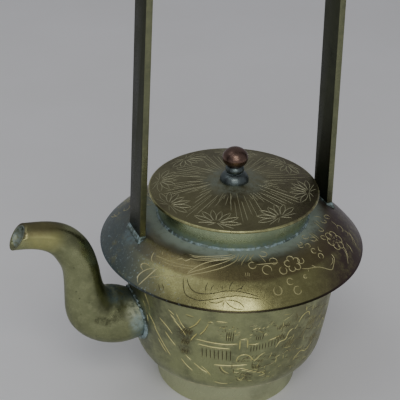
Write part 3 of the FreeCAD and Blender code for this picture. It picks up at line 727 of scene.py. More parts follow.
@dataclass(frozen=True)
class Bloom:
    """A patch of patina, verdigris, painted shade or painted highlight that fades with distance.

    The distance is taken from the pot's axis, from the centre, or along the centre as a direction.
    """

    fade: Fade
    colour: Colour
    near: float
    far: float
    strength: float = 1.0
    centre: tuple[float, float, float] = (0.0, 0.0, 0.0)
    crust: float = 0.6
    grain: float = 1.6 * MM
    broken: tuple[float, float, float] = (0.36, 0.60, 0.25)

    def mask(self, graph: Graph) -> object:
        """The patch's share, broken up by noise."""
        if self.fade is Fade.AXIS:
            reach = graph.distance((0.0, 0.0, 0.0), True)
        elif self.fade is Fade.SPOT:
            reach = graph.distance(self.centre, False)
        else:
            reach = graph.along(self.centre)
        even = graph.ranged(reach, self.near, self.far, self.strength, 0.0)
        rough = graph.ranged(graph.noise(self.grain, 6.0, 0.7), *self.broken, 1.0)
        return graph.sum_of("MULTIPLY", even, rough)


MOTTLE = 2.6 * MM
MOTTLE_DEPTH = 0.03 * MM
FINE = 0.5 * MM
FINE_DEPTH = 0.010 * MM
DENT = 5.0 * MM
DENT_DEPTH = 0.05 * MM
PIT_SPACING = 3.1 * MM
SCRATCH_TURNS = (0.35, 1.9)
SCRATCH_STRETCH = (60.0, 2600.0, 2600.0)


@dataclass(frozen=True)
class AgedMetal:
    """Old brass or copper: blotched colour, worn and dark places, scratches, pits and verdigris, with some painted
    shade and painted highlights.
    """

    name: str
    base: Colour
    dark: Colour
    worn: Colour
    gloss: Point = (0.30, 0.48)
    blotch: float = 16.0 * MM
    darkness: float = 0.55
    pits: float = 0.35
    scratches: float = 0.5
    cut_colour: Colour | None = None
    cut_metal: float = 0.45
    cut_rough: float = 0.52
    relief: float = 1.0
    grazing: float = 1.0
    stain_and_shade: Colour | None = None
    edge: Colour | None = None
    blooms: tuple[Bloom, ...] = ()

    def build(self) -> bpy.types.Material:
        """Makes the material."""
        graph = Graph(self.name)
        cloud = graph.noise(self.blotch, 5.0, 0.6)
        mottle = graph.noise(MOTTLE, 6.0, 0.65)
        fine = graph.noise(FINE, 3.0, 0.6)
        dull = graph.sum_of("MULTIPLY", graph.ranged(cloud, 0.40, 0.66), self.darkness)
        colour = graph.mix(dull, self.base, self.dark)
        colour = graph.mix(graph.ranged(mottle, 0.46, 0.72, 0.0, 0.55), colour, self.worn)
        speck = graph.ranged(graph.cells(PIT_SPACING), 0.0, 0.16, self.pits, 0.0)
        colour = graph.mix(speck, colour, self.dark)
        rough = graph.ranged(cloud, 0.35, 0.65, self.gloss[0], self.gloss[1])
        rough = graph.sum_of("ADD", rough, graph.ranged(fine, 0.3, 0.7, -0.05, 0.07))
        lines = None
        for turn in SCRATCH_TURNS:
            vector = graph.stretched(SCRATCH_STRETCH, (0.2, 0.3, turn))
            streak = graph.ranged(graph.noise(1.0, 2.0, 0.5, vector), 0.63, 0.70, 0.0, self.scratches)
            lines = streak if lines is None else graph.sum_of("MAXIMUM", lines, streak)
        colour = graph.mix(graph.sum_of("MULTIPLY", lines, 0.5), colour, self.worn)
        rough = graph.sum_of("ADD", rough, graph.sum_of("MULTIPLY", lines, 0.10))
        metal: object = None
        # Marked faces take a dark colour: real stains and patina, and painted shade on the undersides of the brim,
        # bowl and lid.
        if self.stain_and_shade is not None:
            stain_and_shade = graph.sum_of("MULTIPLY", graph.attribute("stain_and_shade"), graph.ranged(cloud, 0.3, 0.6, 1.0, 0.8))
            colour = graph.mix(stain_and_shade, colour, self.stain_and_shade)
        # Faces marked as edge take the edge colour: worn edges, and on the bowl's lip a painted highlight.
        if self.edge is not None:
            edge = graph.sum_of("MULTIPLY", graph.attribute("edge"), graph.ranged(mottle, 0.35, 0.6, 1.0, 0.35))
            colour = graph.mix(edge, colour, self.edge)
        for bloom in self.blooms:
            mask = bloom.mask(graph)
            colour = graph.mix(mask, colour, bloom.colour)
            crust = graph.sum_of("MULTIPLY", mask, bloom.crust)
            rough = graph.sum_of("ADD", rough, graph.sum_of("MULTIPLY", crust, 0.45))
            bare = graph.sum_of("SUBTRACT", 1.0, crust)
            metal = bare if metal is None else graph.sum_of("MULTIPLY", metal, bare)
        # Cut banks take a paler, less metallic colour: fresh-cut metal, and partly a painted glint in place of the
        # banks' own reflections.
        if self.cut_colour is not None:
            cut = graph.attribute("cut")
            bank = graph.ranged(cut, 0.0, 0.25)
            colour = graph.mix(bank, colour, self.cut_colour)
            # Cut floors are darkened: grime, and painted shade where a cut reads dark against a highlight.
            colour = graph.mix(graph.ranged(graph.attribute("grime_and_shade"), 0.03, 0.35, 0.0, 0.94), colour, CUT_GRIME_AND_SHADE)
            rough = graph.blend(bank, rough, self.cut_rough)
            metal = graph.blend(bank, 1.0 if metal is None else metal, self.cut_metal)
        normal = graph.bump(graph.noise(DENT, 3.0, 0.5), DENT_DEPTH * self.relief)
        normal = graph.bump(graph.sum_of("SUBTRACT", mottle, speck), MOTTLE_DEPTH * self.relief, normal)
        normal = graph.bump(graph.sum_of("SUBTRACT", fine, lines), FINE_DEPTH * self.relief, normal)
        shader = graph.shader.inputs
        graph.put(shader["Base Color"], colour)
        graph.put(shader["Specular Tint"], (self.grazing, self.grazing, self.grazing))
        graph.put(shader["Roughness"], rough)
        graph.put(shader["Metallic"], 1.0 if metal is None else metal)
        graph.put(shader["Normal"], normal)
        return graph.material


# Finishes. Colours are linear.
VERDIGRIS: Colour = (0.20, 0.29, 0.31)
PALE_VERDIGRIS: Colour = (0.40, 0.52, 0.55)
BLUE_GREY: Colour = (0.160, 0.180, 0.160)
DEEP_BLUE_GREY: Colour = (0.095, 0.125, 0.135)
# Painted shade for sides turned from the lamps and for the spout's top edge.
SHADE_BROWN_PURPLE: Colour = (0.070, 0.043, 0.042)
# Painted shade for the crown and knee above the brim's highlight.
CROWN_SHADE_BROWN: Colour = (0.130, 0.100, 0.052)
TEAL: Colour = (0.045, 0.085, 0.10)
# Grime in cut floors, partly painted shade where cuts read dark against a highlight.
CUT_GRIME_AND_SHADE: Colour = (0.045, 0.040, 0.025)
# Dark stain, also used as painted shade under the brim, bowl and lid.
STAIN_AND_SHADE: Colour = (0.060, 0.055, 0.034)
# Painted shade for the dark line along the brim's lower edge.
PAINTED_RIM_SHADE: Colour = (0.022, 0.018, 0.012)
BORE: Colour = (0.30, 0.36, 0.33)
BOWL_STAIN: Colour = (0.065, 0.055, 0.035)
SPOUT_STAIN: Colour = (0.075, 0.08, 0.040)
BORE_LINE = ((-0.0772, 0.0726), (-0.0748, 0.0723), (-0.0724, 0.0719), (-0.0700, 0.0715))

SHOULDER_FINISH = AgedMetal(
    "shoulder_brass",
    base=(0.36, 0.35, 0.15),
    dark=(0.17, 0.155, 0.075),
    worn=(0.43, 0.42, 0.19),
    gloss=(0.24, 0.28),
    relief=0.12,
    cut_colour=(0.54, 0.51, 0.28),
    stain_and_shade=STAIN_AND_SHADE,
    blooms=(
        # Painted shade: a dark line along the brim's lower edge, where the brim shades the bowl.
        Bloom(Fade.SIDE, PAINTED_RIM_SHADE, 0.05705, 0.05735, 0.95, (0.0, 0.0, 1.0), 0.1, 6.0 * MM, (0.2, 0.4, 0.8)),
        # Painted shade: the crown and knee inside about 39 mm are darkened brown, so the brim's highlight ends there.
        Bloom(Fade.AXIS, CROWN_SHADE_BROWN, 0.0388, 0.0402, 0.70, crust=0.05, grain=9.0 * MM, broken=(0.3, 0.5, 0.7)),
        Bloom(Fade.AXIS, BLUE_GREY, 0.0290, 0.0365, 0.80, crust=0.45, grain=4.0 * MM, broken=(0.35, 0.6, 0.3)),
        Bloom(Fade.SIDE, DEEP_BLUE_GREY, -0.043, -0.026, 0.92, (1.0, -0.25, 0.0), 0.50, 5.0 * MM, (0.3, 0.5, 0.6)),
        # Painted shade on the shoulder's right side, turned from the lamps.
        Bloom(Fade.SIDE, SHADE_BROWN_PURPLE, -0.040, -0.024, 0.95, (-1.0, 0.35, 0.0), 0.20, 3.0 * MM, (0.3, 0.55, 0.6)),
        Bloom(Fade.SIDE, PALE_VERDIGRIS, -0.046, -0.026, 0.60, (1.0, 0.1, 0.0), 0.5, 0.9 * MM, (0.57, 0.66, 0.0)),
        Bloom(Fade.AXIS, VERDIGRIS, 0.0272, 0.0294, 0.75, crust=0.6),
        Bloom(Fade.AXIS, (0.32, 0.385, 0.32), 0.0285, 0.0345, 0.85, (0.0, 0.0, 0.0), 0.85, 3.0 * MM, (0.3, 0.5, 0.5)),
        *(Bloom(Fade.SPOT, VERDIGRIS, 0.0028, 0.0070, 0.6, (x, 0.0, 0.066), 0.5) for x in (-0.0365, 0.0365)),
    ),
)
BOWL_FINISH = AgedMetal(
    "bowl_brass",
    base=(0.345, 0.37, 0.19),
    dark=(0.185, 0.20, 0.118),
    worn=(0.44, 0.455, 0.25),
    gloss=(0.30, 0.42),
    blotch=11.0 * MM,
    darkness=0.70,
    scratches=0.8,
    cut_colour=(0.70, 0.66, 0.27),
    cut_metal=0.40,
    cut_rough=0.38,
    stain_and_shade=STAIN_AND_SHADE,
    # The lip's pale line: wear, and a painted highlight.
    edge=(0.66, 0.64, 0.38),
    blooms=(
        Bloom(Fade.SPOT, VERDIGRIS, 0.0095, 0.0135, 0.5, (-0.0365, 0.0, 0.0328), 0.3),
        Bloom(Fade.SPOT, BOWL_STAIN, 0.0020, 0.0056, 0.75, (-0.0268, -0.0252, 0.0385), 0.3, 1.0 * MM),
        Bloom(Fade.SPOT, BOWL_STAIN, 0.0014, 0.0040, 0.75, (-0.0262, -0.0240, 0.0310), 0.3, 1.0 * MM),
        Bloom(Fade.SPOT, (0.06, 0.05, 0.03), 0.0008, 0.0036, 0.75, (-0.0072, -0.0340, 0.0215), 0.3, 1.0 * MM),
        Bloom(Fade.SIDE, (0.125, 0.11, 0.06), -0.034, -0.010, 0.65, (-1.0, 0.45, 0.0), 0.2, 5.0 * MM),
        # Darker grey-brown on the left, beside the spout: streaked tarnish and painted shade.
        Bloom(Fade.SIDE, (0.125, 0.13, 0.085), -0.036, -0.020, 0.80, (1.0, -0.1, 0.0), 0.25, 6.0 * MM),
    ),
)
LID_FINISH = AgedMetal(
    "lid_brass",
    base=(0.235, 0.225, 0.118),
    dark=(0.12, 0.108, 0.062),
    worn=(0.285, 0.27, 0.15),
    gloss=(0.30, 0.40),
    cut_colour=(0.44, 0.44, 0.29),
    stain_and_shade=STAIN_AND_SHADE,
    edge=(0.56, 0.56, 0.27),
    blooms=(
        Bloom(Fade.AXIS, (0.24, 0.28, 0.23), 0.0065, 0.0140, 0.70, crust=0.55, grain=3.0 * MM),
        # Painted shade on the lid's right side, turned from the lamps.
        Bloom(Fade.SIDE, SHADE_BROWN_PURPLE, -0.028, -0.008, 0.55, (-1.0, 0.3, 0.0), 0.15, 3.0 * MM),
    ),
)
NECK_FINISH = AgedMetal(
    "neck_brass",
    base=(0.39, 0.47, 0.29),
    dark=(0.22, 0.28, 0.20),
    worn=(0.47, 0.52, 0.32),
    gloss=(0.26, 0.36),
    relief=0.5,
    blooms=(Bloom(Fade.SIDE, VERDIGRIS, 0.0690, 0.0712, 0.7, (0.0, 0.0, 1.0), 0.4),),
)
FOOT_FINISH = AgedMetal(
    "foot_brass",
    base=(0.53, 0.56, 0.35),
    dark=(0.31, 0.32, 0.21),
    worn=(0.60, 0.62, 0.39),
    gloss=(0.30, 0.42),
    # Painted shade: a dark band round the top of the foot, under the bowl's overhang.
    blooms=(Bloom(Fade.SIDE, (0.03, 0.025, 0.015), -0.0088, -0.0081, 0.9, (0.0, 0.0, -1.0), 0.1),),
)
SPOUT_FINISH = AgedMetal(
    "spout_brass",
    base=(0.29, 0.31, 0.165),
    dark=(0.12, 0.13, 0.072),
    worn=(0.37, 0.39, 0.215),
    gloss=(0.26, 0.36),
    pits=0.95,
    relief=0.7,
    grazing=0.7,
    blooms=(
        Bloom(Fade.SIDE, VERDIGRIS, 0.0375, 0.0430, 0.75, (-1.0, 0.0, 0.0), 0.5),
        Bloom(Fade.SPOT, TEAL, 0.0035, 0.0085, 0.85, (-0.0450, -0.0010, 0.0425), 0.75, 3.0 * MM),
        # Painted highlight: a golden patch on the spout's arch.
        Bloom(Fade.SPOT, (0.46, 0.44, 0.17), 0.0030, 0.0100, 0.70, (-0.0700, -0.0038, 0.0743), 0.0, 6.0 * MM,
              (0.3, 0.5, 0.6)),
        Bloom(Fade.SPOT, SPOUT_STAIN, 0.0006, 0.0022, 0.80, (-0.0532, -0.0092, 0.0390), 0.2, 1.0 * MM),
        Bloom(Fade.SPOT, SPOUT_STAIN, 0.0010, 0.0027, 0.85, (-0.0503, -0.0097, 0.0384), 0.2, 1.0 * MM),
        Bloom(Fade.SPOT, SPOUT_STAIN, 0.0006, 0.0022, 0.80, (-0.0474, -0.0098, 0.0384), 0.2, 1.0 * MM),
        # Painted shade along the top of the spout's arch, in place of its dark grazing reflection.
        Bloom(Fade.SIDE, SHADE_BROWN_PURPLE, -0.0752, -0.0728, 0.55, (0.0, 0.0, -1.0), 0.05, 3.0 * MM, (0.3, 0.6, 0.5)),
        # Pale solder wash on the spout's root, brightened into a painted gleam.
        Bloom(Fade.SPOT, (0.66, 0.70, 0.50), 0.0016, 0.0058, 0.95, (-0.0393, -0.0078, 0.0392), 0.50, 1.5 * MM),
        Bloom(Fade.SPOT, (0.42, 0.53, 0.50), 0.0014, 0.0048, 0.85, (-0.0385, -0.0094, 0.0350), 0.55, 1.2 * MM),
        *(Bloom(Fade.SPOT, BORE, 0.0037, 0.0039, 1.0, (x, 0.0, z), 0.7, 1.2 * MM) for x, z in BORE_LINE),
    ),
)
STRAP_FINISH = AgedMetal(
    "strap_brass",
    base=(0.210, 0.222, 0.130),
    dark=(0.11, 0.12, 0.08),
    worn=(0.28, 0.29, 0.16),
    gloss=(0.28, 0.40),
    grazing=0.66,
    stain_and_shade=(0.036, 0.040, 0.028),
    edge=(0.27, 0.25, 0.14),
    blooms=(Bloom(Fade.SIDE, VERDIGRIS, 0.0655, 0.0680, 0.6, (0.0, 0.0, 1.0), 0.4),),
)
BALL_FINISH = AgedMetal(
    "ball_copper",
    base=(0.195, 0.126, 0.098),
    dark=(0.105, 0.072, 0.062),
    worn=(0.22, 0.15, 0.115),
    gloss=(0.28, 0.34),
    relief=0.25,
    blotch=5.0 * MM,
    pits=0.08,
    scratches=0.15,
)
PEDESTAL_FINISH = AgedMetal(
    "pedestal_metal",
    base=(0.150, 0.182, 0.182),
    dark=(0.078, 0.097, 0.102),
    worn=(0.22, 0.25, 0.245),
    gloss=(0.32, 0.42),
    blotch=4.0 * MM,
    pits=0.15,
    scratches=0.2,
)
SOLDER_FINISH = AgedMetal(
    "solder_grey",
    base=(0.20, 0.25, 0.215),
    dark=(0.11, 0.15, 0.14),
    worn=(0.33, 0.39, 0.36),
    gloss=(0.42, 0.60),
    blotch=3.0 * MM,
    pits=0.05,
    scratches=0.05,
    blooms=(Bloom(Fade.AXIS, PALE_VERDIGRIS, 0.0, 0.2, 0.80, crust=0.7, grain=1.6 * MM, broken=(0.46, 0.58, 0.0)),),
)
SPOUT_SOLDER_FINISH = AgedMetal(
    "solder_worn",
    base=(0.19, 0.22, 0.17),
    dark=(0.09, 0.12, 0.11),
    worn=(0.30, 0.34, 0.28),
    gloss=(0.36, 0.50),
    blotch=3.0 * MM,
    pits=0.1,
    scratches=0.1,
    blooms=(
        Bloom(Fade.AXIS, PALE_VERDIGRIS, 0.0, 0.2, 0.85, crust=0.6, grain=2.4 * MM, broken=(0.47, 0.56, 0.0)),
        Bloom(Fade.SPOT, PALE_VERDIGRIS, 0.0020, 0.0070, 0.80, (-0.0370, -0.0090, 0.0300), 0.5),
    ),
)


def dress(piece: bpy.types.Object, finish: bpy.types.Material) -> None:
    """Gives a piece one material all over."""
    piece.data.materials.clear()
    piece.data.materials.append(finish)
    for polygon in piece.data.polygons:
        polygon.material_index = 0


@dataclass
class Piece:
    """The slot, body and solids listed for each new piece."""

    slot: str
    body: str
    nodes: tuple[str, ...]

    def hand_over(self, piece: bpy.types.Object, finish: bpy.types.Material) -> None:
        """Args:
            piece: the finished piece.
            finish: its material.
        """
        dress(piece, finish)
        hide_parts(*self.nodes)
        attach(piece, self.body)
        LOG.info("%s: %d triangles", piece.name, sum(len(p.vertices) - 2 for p in piece.data.polygons))


@dataclass
class Shoulder:
    """Domed plate with an overhanging brim, engraved with orchid leaves and plum blossom."""

    neck_hole: float = 26.75 * MM
    turn: Point = (32.0 * MM, 67.6 * MM)
    crown_slope: float = math.radians(5.0)
    knee_radius: float = 8.0 * MM
    knee_slope: float = math.radians(30.0)
    edge: Point = (47.0 * MM, 56.6 * MM)
    sheet: float = 1.1 * MM
    groove_width: float = 0.29 * MM
    groove_depth: float = 0.13 * MM
    ring_step: float = 1.35 * MM
    swell: float = 0.10 * MM
    swell_size: float = 17.0 * MM
    # Past this radius and right of this bearing the brim catches the lamp; cut floors there are painted dark.
    dark_from: float = 39.0
    dark_right_of: float = -60.0
    broad_left_of: float = -55.0
    broader: float = 1.4

    def __post_init__(self) -> None:
        """Works out the arcs of the outline."""
        self.knee_centre = (
            self.turn[0] - self.knee_radius * math.sin(self.crown_slope),
            self.turn[1] - self.knee_radius * math.cos(self.crown_slope),
        )
        lean = (math.sin(self.knee_slope), math.cos(self.knee_slope))
        self.knee = (
            self.knee_centre[0] + self.knee_radius * lean[0],
            self.knee_centre[1] + self.knee_radius * lean[1],
        )
        self.brim_centre = tangent_arc(self.knee, (-lean[0], -lean[1]), self.edge)[0]

    def crown_at(self, radius: float) -> float:
        """Height of the crown at a radius inside its turn."""
        return self.turn[1] + (self.turn[0] - radius) * math.tan(self.crown_slope)

    def face(self) -> TurnedFace:
        """The upper face from the neck to the brim's edge."""
        start = (self.neck_hole, self.crown_at(self.neck_hole))
        outline = [start] + line_points(start, self.turn, 20)
        outline += arc_points(self.knee_centre, self.turn, self.knee, 24)
        outline += arc_points(self.brim_centre, self.knee, self.edge, 60)
        return TurnedFace(outline, Spread.FAN, self.neck_hole)

    def under_outline(self) -> list[Point]:
        """The lower face, from the brim's edge back to the neck hole and up it."""
        edge = toward(self.brim_centre, self.edge, self.sheet)
        knee = toward(self.brim_centre, self.knee, self.sheet)
        turn = toward(self.knee_centre, self.turn, self.sheet)
        top = self.crown_at(self.neck_hole)
        low = (self.neck_hole, top - self.sheet / math.cos(self.crown_slope))
        outline = [self.edge, edge]
        outline += arc_points(self.brim_centre, edge, knee, 14)
        outline += arc_points(self.knee_centre, knee, turn, 5)
        return outline + [low, (self.neck_hole, top)]

    def orchid(self, graver: Graver) -> None:
        """Long bent leaves and a hooked stem. Marks are bearing and radius."""
        leaves = (
            ((-66, 46), (-68, 44.6), (-66.5, 42.5), (-62.8, 40.6)),
            ((-65.5, 46.4), (-63.5, 43.8), (-61.7, 41.2), (-60.8, 40.2)),
            ((-67, 42.8), (-69.8, 42.2), (-70.1, 41.4), (-67.8, 40.8), (-65, 41)),
            ((-69, 36.9), (-67.5, 38.9), (-64.6, 39.8)),
            ((-64.5, 35.2), (-63.3, 36.8)),
            ((-67, 37.6), (-58.8, 37.2), (-51.7, 37), (-45.3, 36.6), (-41, 36.1)),
            ((-62, 38.2), (-55, 38), (-48.5, 37.6), (-43, 37.2)),
            ((-54, 36.2), (-52, 35.1), (-49, 35.5), (-47, 34.4), (-43.3, 34.2), (-36.4, 33.3), (-29.8, 32.4)),
            ((-20.9, 28.9), (-23.5, 31.6), (-29.4, 34), (-38, 36.5), (-42.5, 37.9), (-45.8, 39.2)),
            ((-18.5, 28.8), (-21.5, 32.8), (-28.2, 35.4), (-36.3, 37.4), (-41.6, 38.6), (-47, 40.1),
             (-55.5, 41.5), (-63, 43.7)),
            ((-45.8, 39.2), (-43, 37), (-38, 34.6), (-31, 32.7), (-25, 31.2)),
            ((-50, 32.7), (-45.2, 32.8), (-38, 31.6), (-27.5, 30), (-22.8, 28.9)),
            ((-48, 33.4), (-42, 33.2), (-34.5, 32.1), (-25.5, 30.8), (-21, 29.2)),
            ((-46.8, 40.1), (-45.4, 42.1), (-43.3, 44.1), (-40.2, 44.8), (-36, 44.9), (-31.3, 44.3),
             (-25.7, 43.5), (-20.7, 43.1), (-15.5, 43.5), (-12, 43.9), (-10, 44.3)),
            ((-45, 40), (-42.8, 41.9), (-39.8, 43.1), (-35.8, 43.3), (-31.6, 42.9), (-26.7, 42.1),
             (-21.5, 41.9), (-16, 42.5), (-11, 43.6)),
            ((-34.5, 43.1), (-35, 41.6), (-34.3, 40)),
            ((-32.6, 42.6), (-32.2, 41.4), (-31, 40.3)),
            ((-27, 41.9), (-27.5, 41.2), (-27.3, 40.6)),
            ((-24.3, 41.9), (-23.8, 40.4), (-22, 39.1)),
            ((-21.5, 41.9), (-19.5, 41.2), (-17.5, 41.1)),
            ((-19.2, 42), (-18.2, 40.6), (-16.6, 39.8)),
            ((-26, 44.2), (-23.3, 44.2), (-20.5, 44.5), (-18.5, 45.3), (-17.5, 46.1)),
            ((-26, 44.2), (-23.7, 45.4), (-20.9, 46.1), (-17.5, 46.1)),
            ((-26, 44.2), (-29, 45), (-31.5, 45), (-33, 44.6)),
            ((-26, 44.3), (-26.5, 45.3), (-26.2, 46)),
            ((-34, 44.8), (-33.6, 45.8)),
            ((-57, 43.6), (-54.5, 45.5)),
            ((-55.5, 43.4), (-53.3, 44.6), (-54.2, 45.6)),
            ((-52.8, 44), (-53.3, 44.6)),
            ((-15.2, 29), (-18, 31.2), (-20.5, 33.2)),
            ((-12.5, 28.9), (-15, 31), (-17.5, 33.4), (-18.5, 34.8)),
            ((-11.5, 29), (-12.2, 31), (-12.1, 33.2)),
            ((-8.6, 29), (-12, 31.4), (-14.4, 33)),
            ((-20, 30.2), (-26, 31.8), (-33, 33.4)),
        )
        for marks in leaves:
            # Cut floors are fully dark where the brim's highlight falls: painted shade that makes the lines read dark
            # on it.
            dark = all(radius > self.dark_from and bearing > self.dark_right_of for bearing, radius in marks)
            far_left = all(bearing < self.broad_left_of for bearing, radius in marks)
            width = self.groove_width * (self.broader if far_left else 1.0)
            graver.line(*marks, grime_and_shade=1.0 if dark else 0.0, width=width)
        for bearing in (-16.4, -15.4, -14.6):
            graver.line((bearing, 36.4), (bearing + 0.3, 38.2))

    def plum(self, graver: Graver) -> None:
        """Twigs with buds and open blossoms. Marks are bearing and radius."""
        twigs = (
            ((-10.3, 34.4), (-5.5, 34.5), (-1, 34.7), (2.9, 35)),
            ((-6.2, 29.2), (-5, 31.8), (-4, 34.2)),
            ((5.2, 35.4), (8.2, 35.2)),
            ((13.5, 38.6), (17, 39.3), (21.7, 39.9), (24.5, 40.6), (29.3, 42.6), (31.6, 42.2), (35.5, 40.9),
             (36.4, 39.2)),
            ((30.2, 41.6), (33.4, 41.2), (35, 40.1)),
            ((20, 38.7), (22.4, 40.2)),
            ((17.5, 39.3), (16.4, 40.2)),
            ((62, 28.6), (63.5, 30), (61.5, 31.6)),
            ((56.5, 28.8), (51, 31.6), (48.4, 33.4)),
            ((58.5, 29.4), (54, 31.4)),
            ((40, 29.2), (37.8, 32.2), (36, 34.4)),
            ((41.5, 29.6), (39.6, 32), (38.4, 34)),
            ((62.5, 34.6), (61.5, 36), (60.8, 37.2)),
            ((61.5, 39.6), (61.8, 42), (57.5, 43.6)),
            ((64, 41), (60.5, 43.4), (57.2, 44.6)),
            ((52.5, 40.8), (52, 42.8), (50.2, 44.2)),
            ((46.5, 41), (45.4, 42.6), (41, 44.6)),
            ((48, 40.6), (47.2, 42), (44, 43.8)),
            ((62.2, 41), (58.5, 41.4)),
            ((33, 35), (31, 36.4), (32.6, 37.4)),
        )
        for marks in twigs:
            graver.line(*marks)
        buds = (
            (-12, 34.5, 1.15, 20), (-3, 29.9, 1.2, 150), (0.5, 34, 1.2, 200), (-4.7, 36.5, 1.45, 300),
            (3.7, 37.6, 1.2, 60), (34, 29.7, 1.0, 0), (25, 30.6, 0.85, 90), (27.5, 33, 0.85, 210),
            (35.5, 32.3, 1.05, 120), (48, 32.5, 0.8, 40), (42, 34.5, 0.9, 310), (65, 33.5, 1.05, 260),
            (58.5, 32.3, 0.9, 30), (60.5, 38.2, 1.25, 180), (5, 41, 1.05, 340), (-2.2, 42.6, 1.35, 90),
            (7, 43.6, 1.25, 20), (13.6, 41, 0.6, 0), (27.6, 35.6, 0.9, 330), (29.2, 38, 0.95, 230),
            (16, 36.4, 1.05, 70), (23.5, 31.9, 0.7, 10),
        )
        for bearing, radius, size, gap in buds:
            graver.local(bearing, radius, gap).loop(0.0, 0.0, 1.12 * size, 20.0, 325.0)
        graver.local(10.6, 36.4, 0.0).blossom(3.0)
        heart = graver.local(47, 37.8, 20.0)
        heart.blossom(3.9, 6)
        for number in range(14):
            angle = TURN * number / 14.0
            ends = (0.3, 1.3 + 0.35 * math.sin(5.0 * angle))
            heart.line(*[(reach * math.cos(angle), reach * math.sin(angle)) for reach in ends])
        for bearing, radius in ((-60, 38.9), (-58.9, 39.4), (9.5, 41), (11, 42), (12.5, 43), (15, 41.6), (17, 42.4)):
            graver.dash(bearing, radius, 0.7, 40.0)

    def build(self, finish: bpy.types.Material) -> None:
        """Engraves the front and, with the same motifs the other way round, the back."""
        graver = Graver(self.face(), self.groove_width)
        for shift in BOTH_SIDES:
            graver.shift = shift
            self.orchid(graver)
            self.plum(graver)
        top = EngravedFace(graver, self.groove_depth, self.ring_step).mesh("shoulder_top")
        under = lathe("shoulder_under", self.under_outline())
        mark(top, "stain_and_shade", lambda face: False)
        # The brim's underside and edge face are painted dark as the shade under the brim.
        mark(under, "stain_and_shade", lambda face: True)
        piece = weld([top, under], "engraved_shoulder")
        unsteady(piece, self.swell, self.swell_size)
        smooth(piece, CREASE)
        Piece("shoulder_brass", "pot", ("shoulder",)).hand_over(piece, finish)


